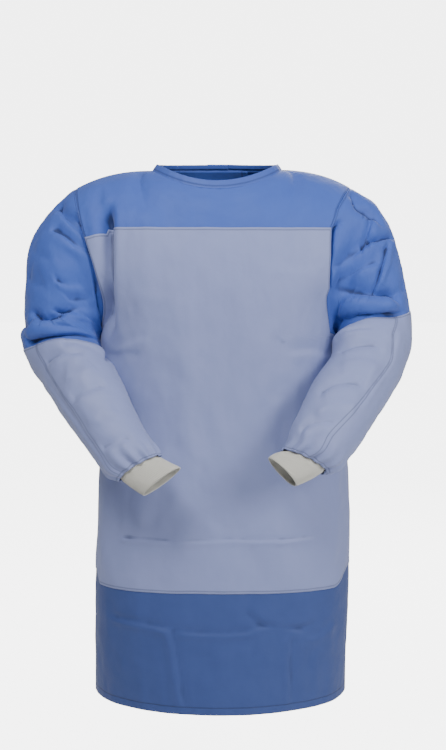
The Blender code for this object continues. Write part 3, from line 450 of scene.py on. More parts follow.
BACK_CREASES = from_mm(
    Crease,
    (-150, -140, -130, -300, -100, -425, 19.6, -5, 0.45),
    (160, -150, 130, -300, 105, -425, 19.6, -5, -0.45),
    (-85, -250, -75, -340, -60, -425, 12.6, 3.1, 0.4),
    (75, -230, 62, -330, 45, -425, 12.6, 3.1, 0.4),
    (-210, -330, -180, -400, -120, -440, 10.3, -3.5, 0.4),
    (210, -330, 180, -400, 120, -440, 10.3, -3.5, -0.4),
    (-205, -550, -170, -490, -110, -455, 11.5, -3.5, -0.4),
    (205, -560, 170, -490, 110, -455, 11.5, -3.5, 0.4),
    (-140, -470, -175, -800, -190, -1150, 25.3, 6.2, 0.45),
    (130, -470, 165, -800, 185, -1150, 25.3, 6.2, 0.45),
    (70, -500, 85, -820, 95, -1150, 21.8, -4.3, 0.4),
    (-85, -520, -95, -820, -115, -1150, 21.8, -4.3, 0.4),
    (-230, -700, -235, -900, -235, -1120, 14.9, -3.1, 0.3),
    (235, -680, 238, -900, 235, -1120, 14.9, -3.1, 0.3),
    (-200, -758, -80, -764, 20, -758, 6.3, 2, 0.7),
    (20, -760, 110, -764, 215, -756, 6.3, 1.9, 0.7),
    (-220, -955, -100, -960, 10, -962, 6.9, 2.2, 0.7),
    (20, -962, 120, -956, 220, -960, 6.9, 2.1, 0.7),
    (-230, -90, -190, -120, -110, -125, 13.8, -2.2, 0.4),
    (230, -90, 190, -125, 120, -130, 13.8, -2.2, 0.4),
    (-60, -40, -75, -100, -110, -160, 13.8, 1.6, 0.3),
    (70, -50, 85, -105, 115, -160, 13.8, 1.6, 0.3),
)
print("creases on the body:", len(FRONT_CREASES) + len(BACK_CREASES))

# %% [markdown]
# The folds lift the plain form along its own normal. They die out at the side seams and the shoulder line,
# where the panels are sewn together, and small rumples are added over them.

# %% Folded body surfaces
RUMPLE_LIFT = 0.0020
RUMPLE_SIZE = 0.055
RUMPLE_STRETCH = (1.0, 1.0, 0.55)
SEAM_DIP = 0.0011
EDGE_S = 0.9994
EDGE_V = TOP_V - 0.0002


def normals_of(place, a, b, step=1e-3):
    along_a = place(a + step, b) - place(a - step, b)
    along_b = place(a, b + step) - place(a, b - step)
    return unit(np.cross(along_a, along_b))


def folded_body(side):
    outward = 1.0 if side == "front" else -1.0
    creases = FRONT_CREASES if side == "front" else BACK_CREASES

    def place(s, v):
        base = body_base(side, s, v)
        normal = outward * normals_of(lambda a, b: body_base(side, a, b), s, v)
        calm = smoothstep((1.0 - np.abs(s)) / 0.05) * smoothstep((TOP_V - v) / 0.04)
        lift, aside, up = crease_shift(creases, base[..., 0], base[..., 2]) * calm
        return base + normal * lift[..., None] + np.stack([aside, 0.0 * aside, up], axis=-1)

    def normal(s, v):
        s = np.clip(s, -0.998, 0.998)
        v = np.minimum(v, TOP_V - 0.002)
        found = outward * normals_of(place, s, v)
        at_side = smoothstep((np.abs(s) - 0.93) / 0.065) * smoothstep((UNDERARM_Z - v) / 0.02)
        past_neck = smoothstep((np.abs(s) - NECK_SHARE + 0.02) / 0.04)
        at_shoulder = smoothstep((v - TOP_V + 0.02) / 0.018) * past_neck
        meeting = np.maximum(at_side, at_shoulder)[..., None]
        return unit(found * (1.0 - meeting * np.array([0.0, 1.0, 0.0])))

    return place, normal


FRONT, FRONT_NORMAL = folded_body("front")
BACK, BACK_NORMAL = folded_body("back")


def on_body(surface, normal, s, v, at_side, lift, seed):
    """Cloth laid on the body, lift off it, with small rumples and a dip at the armhole's seam."""
    points, ways = surface(s, v), normal(s, v)
    calm = smoothstep(at_side / 0.06) * smoothstep((TOP_V - v) / 0.03)
    small = rumple(points, RUMPLE_SIZE, RUMPLE_STRETCH, seed) * RUMPLE_LIFT * calm
    dip = SEAM_DIP * (1.0 - smoothstep(at_side / 0.018)) * smoothstep((v - UNDERARM_Z) / 0.02)
    return points + ways * (lift + small - dip)[..., None]


def on_back(s, v, lift):
    """Points that lie lift off the plain folded back."""
    return BACK(s, v) + BACK_NORMAL(s, v) * lift[:, None]


print("armhole top", BACK(np.array([1.0]), np.array([EDGE_V])).round(3)[0])

# %% [markdown]
# ## From a flat sheet to a worn one
#
# Each cloth piece starts as a flat grid, like cloth on a table. Every point of it is then moved to its place
# on the body by a function, and Solidify gives the cloth its thickness on the inner side. The grid's own UV
# map is stretched to metres, so that weave and stitches keep their real size.

# %% The sheet maker
CLOTH = 0.0008
# FULL_SHADE_DEPTH and FOLD_REACH set the painted shade in folds: how deep a trough is before it gets full shade, and
# how wide the evening is that measures it.
FULL_SHADE_DEPTH = 0.0026
FOLD_REACH = 0.0080


def sewn_edges(u, v, size, insets):
    """Signed distance to the rows of stitches that run beside the edges, and the way along them."""
    gap, along = np.full(u.shape, 1.0), 0.0 * u
    for edge, inset in insets.items():
        off = {"left": u, "right": size[0] - u, "low": v, "high": size[1] - v}[edge] - inset
        along = np.where(off < gap, v if edge in ("left", "right") else u, along)
        gap = np.minimum(off, gap)
    return gap, along


# This share is used only for colour: it sets the painted shade that darkens the cloth in its troughs.
def sunk_share(points, across, up, size, closed):
    """How far each point of the grid lies in a fold: above zero in a trough, below it on a ridge."""
    grid = points.reshape(up + 1, across + 1, 3)
    outward = unit(np.cross(np.gradient(grid, axis=1), np.gradient(grid, axis=0)))
    even = grid
    cell = (size[0] / across + size[1] / up) / 2.0
    for _ in range(max(2, round(2.0 * (FOLD_REACH / cell) ** 2))):
        mode = "wrap" if closed else "edge"
        even = np.pad(even, ((0, 0), (1, 1), (0, 0)), mode=mode)
        even = (even[:, :-2] + 2.0 * even[:, 1:-1] + even[:, 2:]) / 4.0
        even = np.pad(even, ((1, 1), (0, 0), (0, 0)), mode="edge")
        even = (even[:-2] + 2.0 * even[1:-1] + even[2:]) / 4.0
    depth = ((even - grid) * outward).sum(axis=-1)
    calm_up = smoothstep(np.minimum(np.arange(up + 1), up - np.arange(up + 1)) / 6.0)[:, None]
    return np.clip(depth * calm_up / FULL_SHADE_DEPTH, -1.0, 1.0).ravel()


def write_numbers(mesh, name, values):
    mesh.attributes.new(name, "FLOAT", "POINT").data.foreach_set("value", values.astype(np.float32))


def lay_sheet(name, across, up, place, size, cloth=CLOTH, closed=False, insets=None, line=None):
    """A grid of across by up squares. place turns shares (a, b) of the sheet into points."""
    bpy.ops.object.select_all(action="DESELECT")
    bpy.ops.mesh.primitive_grid_add(x_subdivisions=across, y_subdivisions=up, size=1.0, calc_uvs=True)
    sheet = bpy.context.object
    sheet.name = sheet.data.name = name
    count = len(sheet.data.vertices)
    flat = np.zeros(count * 3)
    sheet.data.vertices.foreach_get("co", flat)
    flat = flat.reshape(-1, 3)
    a, b = flat[:, 0] + 0.5, flat[:, 1] + 0.5
    points = place(a, b)
    sheet.data.vertices.foreach_set("co", points.astype(np.float32).ravel())
    gap, along = sewn_edges(a * size[0], b * size[1], size, insets or {})
    second = 1.0 + 0.0 * gap
    if line is not None:
        second, share = line(a, b)
        along = np.where(np.abs(second) < np.abs(gap), share, along)
    write_numbers(sheet.data, "sewn", gap)
    write_numbers(sheet.data, "sewn_again", second)
    write_numbers(sheet.data, "along", along)
    # sunk is stored for the painted shade that darkens the folds' colour.
    sunk = sunk_share(points, across, up, size, closed)
    print("deepest", round(float(sunk.max()), 2), "share in folds", round(float((sunk > 0.3).mean()), 3))
    write_numbers(sheet.data, "sunk", sunk)
    layer = sheet.data.uv_layers.active.data
    uv = np.zeros(len(layer) * 2)
    layer.foreach_get("uv", uv)
    uv = uv.reshape(-1, 2) * np.array(size)
    layer.foreach_set("uv", uv.ravel())
    sheet.data.update()
    if closed:
        bpy.ops.object.mode_set(mode="EDIT")
        bpy.ops.mesh.select_all(action="SELECT")
        bpy.ops.mesh.remove_doubles(threshold=0.00002)
        bpy.ops.object.mode_set(mode="OBJECT")
    bpy.ops.object.modifier_add(type="SOLIDIFY")
    sheet.modifiers[-1].thickness = cloth
    sheet.modifiers[-1].offset = -1.0
    bpy.ops.object.modifier_apply(modifier=sheet.modifiers[-1].name)
    bpy.ops.object.shade_smooth()
    print(name, "faces:", len(sheet.data.polygons))
    return sheet


def measured_area(sheet):
    """One face of the cloth, in square metres."""
    return sum(face.area for face in sheet.data.polygons) / 2.0


def wear(sheet, *stands_for, slot, flat, held="draped", rests_on=(), area=None):
    """Hangs the sheet on the root body, hides the plain parts that it stands for, and prints its area beside the flat
    size it was cut to.
    """
    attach(sheet, "root")
    if stands_for:
        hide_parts(*stands_for)
    print(sheet.name, "area", round(measured_area(sheet), 4), "of", flat)


# %% [markdown]
# ## The three front pieces
#
# The front is cut in three: a blue yoke, a pale panel of reinforced cloth that starts at the chest, and a
# blue skirt. The pale panel laps over the other two by about a centimetre, so its two edges stand proud.

# %% Front pieces
LAP = 0.012
PANEL_LIFT = 0.0012
FRONT_SEED = 1.0
SIDE_STITCH = 0.004
PANEL_STITCH = 0.005
HEM_STITCH = 0.016

# Where the left armhole seam runs: on the wearer's left it is pulled in, and the panel ends in a crisp edge
ArmholeEdge = namedtuple("ArmholeEdge", "v share")
LEFT_EDGE = from_mm(
    ArmholeEdge,
    (-363, 1.0), (-350, 0.74), (-310, 0.805), (-255, 0.895), (-190, 0.853), (-130, 0.79), (-90, 0.824),
    (-60, 0.888), (-30, 0.947), (20, 1.0),
)
# The strip beside the right tuck has slid down, and the hem seam climbs towards the side seams
STRIP_DROP = 0.019
SIDE_RISE = 0.034


def left_edge_share(v):
    return np.interp(v, [row.v for row in LEFT_EDGE], [row.share for row in LEFT_EDGE])


def yoke_seam(share):
    """Height of the chest seam: share runs from -1 at the right armhole to 1 at the left one."""
    dropped = smoothstep((-share - 0.775) / 0.03) * (0.55 + 0.45 * smoothstep((-share - 0.8) / 0.2))
    return YOKE_SEAM_Z - STRIP_DROP * dropped


def hem_seam(share):
    left = smoothstep((share - 0.57) / 0.20)
    right = smoothstep((-share - 0.68) / 0.10)
    return HEM_SEAM_Z + SIDE_RISE * np.where(share > 0.0, left, 0.8 * right)


def front_place(low, high, lift=0.0):
    """low and high give the sheet's lower and upper edge for each share of the way across."""

    def place(a, b):
        share = 2.0 * a - 1.0
        v = np.minimum(low(share) + (high(share) - low(share)) * b, EDGE_V)
        s = np.where(share > 0.0, share * left_edge_share(v), share)
        s = np.clip(s, -EDGE_S, EDGE_S)
        return on_body(FRONT, FRONT_NORMAL, s, v, 1.0 - np.abs(share), lift, FRONT_SEED)

    return place


side_rows = {"left": SIDE_STITCH, "right": SIDE_STITCH}
yoke_cloth = lay_sheet(
    "yoke_cloth", 190, 62,
    front_place(lambda share: yoke_seam(share) - LAP, lambda share: TOP_V + 0.0 * share),
    (0.62, 0.20), insets=side_rows,
)
panel_cloth = lay_sheet(
    "panel_cloth", 180, 210,
    front_place(hem_seam, yoke_seam, PANEL_LIFT),
    (0.66, 0.75), insets={**side_rows, "low": PANEL_STITCH, "high": PANEL_STITCH},
)
skirt_cloth = lay_sheet(
    "skirt_cloth", 170, 80,
    front_place(lambda share: HEM_Z + 0.0 * share, lambda share: hem_seam(share) + LAP),
    (0.68, 0.27), insets={**side_rows, "low": HEM_STITCH},
)
wear(yoke_cloth, "front_yoke", slot="blue_cloth", flat=(0.63, 0.20), area=0.100,
     rests_on=["neck_binding_strip"])
wear(panel_cloth, "front_panel", slot="pale_reinforced_cloth", flat=(0.68, 0.76), rests_on=["yoke_cloth"])
wear(skirt_cloth, "front_skirt", slot="blue_cloth", flat=(0.70, 0.27), rests_on=["panel_cloth"])

# %% [markdown]
# ## The two back pieces
#
# The back opens down the middle. The left piece laps over the right one, by about seven centimetres at the
# neck and more at the hem, and stands a little off it.

# %% Back pieces
OVERLAP_TOP_SHARE = 0.14
OVERLAP_HEM_SHARE = 0.30
FLAP_LIFT = 0.0021
BACK_SEED = 5.0
FLAP_STITCH = 0.012
BACK_FLAT = (0.47, 1.17)


def overlap_share(v):
    up = np.clip((v - HEM_Z) / (TOP_V - HEM_Z), 0.0, 1.0)
    return OVERLAP_HEM_SHARE + (OVERLAP_TOP_SHARE - OVERLAP_HEM_SHARE) * up


def flap_lift(s):
    return FLAP_LIFT * (1.0 - smoothstep((s - 0.36) / 0.40))


def back_place(sign):
    """The piece on the side that sign names runs from its side seam past the middle."""

    def place(a, b):
        v = np.minimum(HEM_Z + (TOP_V - HEM_Z) * b, EDGE_V)
        start, end = (-overlap_share(v), 1.0) if sign > 0 else (-1.0, overlap_share(v))
        s = np.clip(end + (start - end) * a, -EDGE_S, EDGE_S)
        lift = flap_lift(s) if sign > 0 else 0.0
        return on_body(BACK, BACK_NORMAL, s, v, 1.0 - np.abs(s), lift, BACK_SEED)

    return place


for side, sign, side_edge, flap_edge in (("left", 1.0, "left", "right"), ("right", -1.0, "right", "left")):
    back = lay_sheet(
        f"back_{side}_cloth", 108, 220, back_place(sign), BACK_FLAT,
        insets={side_edge: SIDE_STITCH, flap_edge: FLAP_STITCH, "low": HEM_STITCH},
    )
    wear(back, f"back_{side}", slot="blue_cloth", flat=BACK_FLAT, rests_on=["neck_binding_strip"])

# %% [markdown]
# ## Sleeves
#
# Each sleeve is one tube that bends at the elbow, cut in two: blue above, pale reinforced cloth below, ending
# in a knitted cuff. A point on it is named by its turn, in degrees from the outer edge towards the front, and
# by the distance down from the armhole.

# %% Sleeve sections
SleeveSection = namedtuple("SleeveSection", "outer_x outer_z inner_x inner_z y half_depth")
RIGHT_SLEEVE = from_mm(
    SleeveSection,
    (-356, -86, -250, -362, 0, 93),
    (-401, -150, -254, -364, -5, 93),
    (-417, -257, -255, -368, -12, 90),
    (-421, -340, -251, -376, -26, 86),
    (-423, -373, -247, -386, -36, 85),
    (-402, -418, -240, -395, -56, 82),
    (-364, -466, -226, -408, -94, 76),
    (-316, -522, -198, -451, -156, 68),
    (-271, -572, -165, -511, -206, 60),
    (-240, -606, -140, -550, -232, 53),
    (-219, -626, -127, -567, -244, 45),
    (-198, -631, -118, -583, -251, 31),
    (-175, -645, -100, -593, -260, 28),
    (-150, -660, -77, -602, -268, 28.5),
)
LEFT_SLEEVE = from_mm(
    SleeveSection,
    (331, -80, 252, -362, 0, 93),
    (368, -142, 255, -364, -8, 93),
    (394, -242, 254, -368, -16, 90),
    (405, -300, 251, -375, -26, 87),
    (408, -328, 247, -386, -34, 86),
    (404, -376, 241, -395, -56, 84),
    (374, -448, 226, -407, -94, 78),
    (326, -509, 190, -446, -156, 70),
    (289, -554, 163, -493, -206, 62),
    (260, -588, 140, -534, -232, 55),
    (234, -612, 134, -559, -244, 46),
    (209, -614, 123, -572, -251, 31),
    (180, -629, 108, -577, -260, 28),
    (149, -642, 96, -583, -268, 28.5),
)
SLEEVE_SEAM_STATION = 5
SLEEVE_END_STATION = 12
CUFF_END_STATION = 14
WAY_EVENING = 3

# %% [markdown]
# The upper sleeve bunches at the elbow: long folds fan out from the crook towards the shoulder. The lower
# sleeve is stiffer and shows few, flat creases. The back of each arm, out of sight, gets folds of the same
# kind. Each row is a bent line in degrees and millimetres, then width, depth, roll and lean. Bulges are
# rounder: they puff the cloth out where it is pushed together.

# %% Creases of the sleeves
TURN_WIDTH = 0.085

SleeveCrease = namedtuple(
    "SleeveCrease", "turn0 down0 turn1 down1 turn2 down2 width depth roll lean", defaults=(0.8,)
)
RIGHT_CREASES = from_mm(
    SleeveCrease,
    (36, 18, 104, 24, 168, 80, 14, -26, 0.05),
    (36, 234, 84, 254, 124, 40, 10, -26, 0.55),
    (72, 228, 106, 206, 150, 80, 6, -10, 0.4),
    (24, 304, 90, 318, 156, 290, 9.5, -21, -0.55),
    (124, 60, 160, 290, 156, 440, 15, -22, 0.1),
    (34, 86, 67, 52, 86, 6, 6, -9, 0.45),
    (10, 56, 45, 42, 66, 22, 11, -13, 0.15),
    (68, 154, 89, 124, 100, 60, 6, -6, 0.45),
    (88, 180, 106, 124, 114, 36, 6, -8, 0.45),
    (12, 175, 36, 190, 60, 176, 12, -4, 0.35),
    (6, 120, 34, 136, 62, 112, 13, -3.6, 0.3),
    (-14, 252, 20, 275, 50, 280, 8, -8, 0.4),
    (46, 388, 84, 389, 122, 415, 12, -8, 0.45),
    (88, 352, 118, 372, 150, 420, 10, -7, -0.4),
    (60, 503, 97, 505, 135, 508, 11, -4.4, 0.4),
    (54, 623, 90, 624, 130, 632, 9, -4, 0.4),
    (70, 445, 100, 460, 130, 455, 15, 3.6, 0.0),
    (60, 560, 95, 572, 130, 566, 14, 3.4, 0.0),
    (34, 400, 46, 520, 44, 660, 7, -2.2, 0.6, 0.2),
    (192, 60, 235, 150, 300, 200, 10.4, -12.1, 0.45),
    (188, 140, 240, 230, 310, 270, 10.4, -13.2, 0.45),
    (205, 20, 255, 80, 310, 110, 8.8, -7.7, 0.4),
    (215, 300, 265, 310, 330, 285, 8.8, -7.7, 0.4),
    (200, 400, 255, 430, 310, 420, 14, -6, 0.35),
    (220, 520, 265, 540, 310, 530, 13, -4.4, 0.35),
)
LEFT_CREASES = from_mm(
    SleeveCrease,
    (50, 12, 84, 12, 118, 14, 11, -18, 0.1),
    (108, 10, 94, 160, 34, 240, 11, -28, -0.55),
    (142, 30, 108, 212, 30, 266, 10, -26, 0.5),
    (150, 30, 140, 140, 116, 220, 13, -20, 0.1),
    (94, 16, 77, 66, 36, 124, 8, -9, -0.45),
    (103, 30, 86, 91, 50, 144, 7.5, -8, -0.45),
    (24, 122, 58, 162, 80, 195, 5.5, -9, 0.45),
    (12, 4, 38, 50, 18, 100, 9, -14, -0.3),
    (36, 66, 54, 83, 72, 83, 7, -8, 0.35),
    (62, 92, 39, 112, 4, 132, 5, -10, -0.6),
    (14, 210, 40, 218, 60, 226, 8, -4, 0.3),
    (145, 404, 118, 377, 76, 368, 11, -7, -0.4),
    (150, 330, 120, 310, 90, 318, 7.3, -7.2, -0.4),
    (142, 536, 115, 497, 70, 480, 11, -5, -0.4),
    (142, 622, 117, 590, 80, 580, 9, -4, -0.4),
    (130, 450, 100, 430, 66, 425, 15, 3.6, 0.0),
    (130, 580, 100, 545, 66, 530, 14, 3.4, 0.0),
    (56, 300, 62, 400, 72, 560, 7, -2.2, 0.6, 0.2),
    (190, 50, 238, 130, 305, 180, 10.4, -12.1, 0.45),
    (186, 150, 236, 225, 306, 262, 10.4, -13.2, 0.45),
    (208, 15, 250, 60, 300, 95, 8.8, -7.2, 0.4),
    (210, 310, 262, 305, 325, 280, 8.8, -7.7, 0.4),
    (196, 410, 250, 425, 312, 410, 14, -6, 0.35),
    (216, 530, 262, 535, 312, 520, 13, -4.4, 0.35),
)


Bulge = namedtuple("Bulge", "turn down spread length lift")
RIGHT_BULGES = from_mm(
    Bulge,
    (120, 385, 34, 30, 7), (100, 270, 30, 22, 6),
)
LEFT_BULGES = from_mm(
    Bulge,
    (138, 300, 30, 50, 16), (24, 60, 30, 30, 4),
)


def across_sleeve(row):
    a = [math.radians(turn) * TURN_WIDTH for turn in (row.turn0, row.turn1, row.turn2)]
    return Crease(a[0], row.down0, a[1], row.down1, a[2], row.down2, row.width, row.depth, row.roll, row.lean)


print("creases on the sleeves:", len(RIGHT_CREASES) + len(LEFT_CREASES))

# %% [markdown]
# ## The sleeve as a surface
#
# Sections are joined by a smooth curve for every turn, and the first one is the armhole itself. The wrist is
# gathered onto the cuff: a dozen uneven pleats grow out of the last few centimetres.

# %% Sleeve tubes
GATHERS = 12
GATHER_DEPTH = 0.0036
GATHER_PUFF = 0.0016
GATHER_LENGTH = 0.060


def lengths_along(points):
    return np.concatenate([[0.0], np.cumsum(np.linalg.norm(np.diff(points, axis=0), axis=1))])


def calm_ways(points):
    """The ways along a line of points, evened out."""
    ways = unit(np.gradient(points, lengths_along(points), axis=0))
    for _ in range(WAY_EVENING):
        padded = np.concatenate([ways[:1], ways, ways[-1:]])
        ways = unit(padded[:-2] + 2.0 * padded[1:-1] + padded[2:])
    return ways


def armhole_loop(sign, count=60):
    """Points and normals round the armhole with their turns: shoulder tip 0, front 90, underarm 180."""
    v = np.linspace(EDGE_V, UNDERARM_Z, count)
    front_s = left_edge_share(v) if sign > 0 else -1.0 + 0.0 * v
    found = []
    back_s = sign + 0.0 * v
    for surface, normal, s, low in ((FRONT, FRONT_NORMAL, front_s, 0.0), (BACK, BACK_NORMAL, back_s, 180.0)):
        points, ways = surface(s, v), normal(s, v)
        if low:
            points, ways = points[::-1], ways[::-1]
        lengths = lengths_along(points)
        found.append((low + 180.0 * lengths / lengths[-1], points, ways))
    return [np.concatenate([found[0][k], found[1][k][1:-1]]) for k in range(3)]


class Sleeve:
    def __init__(self, sections, sign, creases, bulges, seed):
        self.sign, self.seed, self.bulges = sign, seed, bulges
        self.creases = [across_sleeve(row) for row in creases]
        outers = np.array([(row.outer_x, row.y, row.outer_z) for row in sections])
        inners = np.array([(row.inner_x, row.y, row.inner_z) for row in sections])
        self.middles, self.halves = (outers + inners) / 2, (outers - inners) / 2
        fronts = unit(np.cross(calm_ways(self.middles), self.halves))
        fronts = np.where(fronts[:, 1:2] > 0, -fronts, fronts)
        self.fronts = fronts * np.array([row.half_depth for row in sections])[:, None]
        self.turns, self.hole, self.hole_way = armhole_loop(sign)
        along = unit(np.roll(self.hole, -1, axis=0) - np.roll(self.hole, 1, axis=0))
        away = unit(np.cross(along, self.hole_way))
        towards = self.middles[0] - self.hole.mean(axis=0)
        self.away = -away if (away @ towards).sum() < 0 else away
        lines = np.concatenate([[self.hole[0]], (outers + self.middles) / 2])
        lines[0] = (self.hole[0] + self.hole.mean(axis=0)) / 2
        self.keys = lengths_along(lines)
        self.seam, self.end = self.keys[SLEEVE_SEAM_STATION], self.keys[SLEEVE_END_STATION]
        self.cuff_end = self.keys[CUFF_END_STATION]

    def at_hole(self, turns, values):
        return np.stack([np.interp(turns, self.turns, values[:, k], period=360.0) for k in range(3)], axis=-1)

    def turns_at(self, a):
        """The turn in degrees for a share of the way round, in the order that keeps the cloth's face out."""
        return 360.0 * (a if self.sign < 0 else 1.0 - a)

    def base(self, turns, down):
        """The plain tube: for every turn, a smooth curve through all the sections."""
        flat_turns, flat = turns.ravel(), np.clip(down.ravel(), 0.0, self.keys[-1])
        hole, away = self.at_hole(flat_turns, self.hole), self.at_hole(flat_turns, self.away)
        angle = np.radians(flat_turns)
        cos, sin = np.cos(angle)[None, :, None], np.sin(angle)[None, :, None]
        rest = self.middles[:, None, :] + cos * self.halves[:, None, :] + sin * self.fronts[:, None, :]
        rings = np.concatenate([hole[None], rest])
        slopes = np.gradient(rings, self.keys, axis=0)
        slopes[0] = away * np.linalg.norm(rings[1] - rings[0], axis=-1, keepdims=True) / self.keys[1]
        i = np.clip(np.searchsorted(self.keys, flat, side="right") - 1, 0, len(self.keys) - 2)
        step = (self.keys[i + 1] - self.keys[i])[:, None]
        t = (flat - self.keys[i])[:, None] / step
        pick = np.arange(len(flat))
        way, next_way = step * slopes[i, pick], step * slopes[i + 1, pick]
        made = bridge(t, rings[i, pick], way, rings[i + 1, pick], next_way)
        return made.reshape(*turns.shape, 3)

    def frame(self, turns, down, place):
        """The ways around, along and out of the tube."""
        down = np.clip(down, 0.003, self.keys[-1] - 0.003)
        around = unit(place(turns + 0.5, down) - place(turns - 0.5, down))
        along = unit(place(turns, down + 0.001) - place(turns, down - 0.001))
        return around, along, unit(np.cross(around, along)) * self.sign

    def shifts(self, turns, down):
        """Creases, shallower where the tube is squeezed together, and the pleats at the wrist."""
        total = np.zeros((3, *turns.shape))
        for whole_turn in (-360.0, 0.0, 360.0):
            total += crease_shift(self.creases, np.radians(turns + whole_turn) * TURN_WIDTH, down)
        held = np.clip(down, 0.002, self.keys[-1] - 0.002)
        before, after = self.base(turns, held - 0.002), self.base(turns, held + 0.002)
        stretch = np.linalg.norm(after - before, axis=-1) / 0.004
        total = total * np.clip(stretch, 0.0, 1.0) ** 1.2 * smoothstep(down / 0.010)
        gather = smoothstep((down - self.end + GATHER_LENGTH) / (GATHER_LENGTH * 0.85))
        gather = gather * (down <= self.end + 1e-4)
        phase = np.radians(turns)
        pleat = np.sin(GATHERS * phase + 0.9 * np.sin(2.0 * phase + self.seed))
        pleat = pleat * (0.75 + 0.25 * np.sin(3.0 * phase + 2.0 * self.seed))
        total[0] += gather * (GATHER_DEPTH * pleat + GATHER_PUFF)
        for bulge in self.bulges:
            off = (turns - bulge.turn + 180.0) % 360.0 - 180.0
            away = (off / bulge.spread) ** 2 + ((down - bulge.down) / bulge.length) ** 2
            total[0] += bulge.lift * np.exp(-away)
        return total

    def place(self, turns, down):
        out, across, onward = self.shifts(turns, down)
        around, along, outward = self.frame(turns, down, self.base)
        moved = outward * out[..., None] + around * across[..., None] + along * onward[..., None]
        return self.base(turns, down) + moved

    def normal(self, turns, down):
        found = self.frame(turns, down, self.place)[2]
        near_hole = (1.0 - smoothstep(down / 0.008))[..., None]
        return unit(self.at_hole(turns, self.hole_way) * near_hole + found * (1.0 - near_hole))


right_sleeve = Sleeve(RIGHT_SLEEVE, -1.0, RIGHT_CREASES, RIGHT_BULGES, 1.7)
left_sleeve = Sleeve(LEFT_SLEEVE, 1.0, LEFT_CREASES, LEFT_BULGES, 4.1)
print("sleeve lengths:", round(right_sleeve.end, 3), round(left_sleeve.end, 3))

# %% [markdown]
# The seam between blue and pale doesn't run straight round the arm: it drops towards the crook of the right
# elbow, and lies almost level on the left one. The pale piece laps over the blue one there.

# %% Sleeve pieces
SLEEVE_LIFT = 0.0012
SLEEVE_RUMPLE = 0.0018
SLEEVE_RUMPLE_SIZE = 0.050

SeamPlace = namedtuple("SeamPlace", "turn down")
RIGHT_SEAM = from_mm(
    SeamPlace,
    (0, 306), (23, 321), (50, 331), (82, 335), (105, 341), (125, 356), (150, 380), (180, 372), (225, 320),
    (270, 292), (315, 292),
)
LEFT_SEAM = from_mm(
    SeamPlace,
    (0, 244), (20, 256), (35, 268), (50, 277), (70, 277), (90, 269), (110, 252), (130, 240), (150, 246),
    (180, 262), (225, 262), (270, 240), (315, 232),
)


def seam_line(table, turns):
    """The seam's distance down the sleeve, read between the table's places and evened out a little."""
    found = 0.0 * turns
    known, down = [row.turn for row in table], [row.down for row in table]
    for off in (-12.0, -4.0, 4.0, 12.0):
        found = found + np.interp(turns + off, known, down, period=360.0)
    return found / 4.0


# The forearm's long seam, sewn with two rows of stitches that part towards the wrist
RIGHT_LONG_SEAM = from_mm(
    SeamPlace,
    (46, 330), (49, 400), (56, 520), (47, 670), (42, 720),
)
LEFT_LONG_SEAM = from_mm(
    SeamPlace,
    (50, 280), (61, 327), (57, 382), (68, 503), (85, 604), (88, 660),
)


def forearm_seam(sleeve, seam, table):
    """Signed distance to the two rows of stitches, and the distance along them."""

    def line(a, b):
        turns = sleeve.turns_at(a)
        down = sleeve.end + (seam_line(seam, turns) - sleeve.end) * b
        centre = np.interp(down, [row.down for row in table], [row.turn for row in table])
        off = np.abs(np.radians(turns - centre)) * TURN_WIDTH
        half_gap = 0.0024 + 0.0035 * smoothstep((down - 0.45) / 0.15)
        return off - half_gap, down

    return line


def sleeve_place(sleeve, start, end, lift):
    """start and end give the distance down at each turn."""

    def place(a, b):
        turns = sleeve.turns_at(a)
        low, high = end(turns), start(turns)
        down = low + (high - low) * b
        points, ways = sleeve.place(turns, down), sleeve.normal(turns, down)
        calm = smoothstep(down / 0.03) * smoothstep((sleeve.cuff_end - down) / 0.03)
        small = rumple(points, SLEEVE_RUMPLE_SIZE, (1.0, 1.0, 1.0), sleeve.seed) * SLEEVE_RUMPLE * calm
        dip = SEAM_DIP * (1.0 - smoothstep(down / 0.006))
        return points + ways * (lift + small - dip)[..., None]

    return place


SLEEVE_FLAT = (0.50, 0.40)
FOREARM_FLAT = (0.46, 0.44)
SLEEVE_CUT = 0.134
FOREARM_CUT = 0.170
WRIST_STITCH = 0.007
for side, sleeve, seam, long_seam in (
    ("right", right_sleeve, RIGHT_SEAM, RIGHT_LONG_SEAM),
    ("left", left_sleeve, LEFT_SEAM, LEFT_LONG_SEAM),
):
    upper_name, lower_name = f"sleeve_{side}_upper_cloth", f"sleeve_{side}_lower_cloth"
    at_seam = partial(seam_line, seam)
    upper = lay_sheet(
        upper_name, 190, 130,
        sleeve_place(sleeve, lambda t: 0.0 * t + 0.0003, lambda t, meet=at_seam: meet(t) + LAP, 0.0),
        SLEEVE_FLAT, closed=True, insets={"high": SIDE_STITCH},
    )
    lower = lay_sheet(
        lower_name, 144, 100,
        sleeve_place(sleeve, at_seam, lambda t, wrist=sleeve.end: 0.0 * t + wrist, SLEEVE_LIFT),
        FOREARM_FLAT, closed=True, insets={"high": PANEL_STITCH, "low": WRIST_STITCH},
        line=forearm_seam(sleeve, seam, long_seam),
    )
    wear(upper, f"sleeve_{side}_upper", slot="blue_cloth", flat=SLEEVE_FLAT, area=SLEEVE_CUT,
         rests_on=[lower_name])
    wear(lower, f"sleeve_{side}_lower", slot="pale_reinforced_cloth", flat=FOREARM_FLAT, area=FOREARM_CUT,
         rests_on=[upper_name])

# %% [markdown]
# ## Cuffs
#
# The cuffs are knitted tubes with upright ribs. Eighty-four ribs go round each one, with their crests raised
# and a soft roll at the open end, as the knit turns over there. The hidden top slims under the sleeve.

# %% Cuffs
RIBS = 84
RIB_DEPTH = 0.0007
KNIT = 0.0014
CUFF_START_UNDER = 0.010
HIDDEN_TOP_SINK = 0.0055
END_ROLL = 0.0009


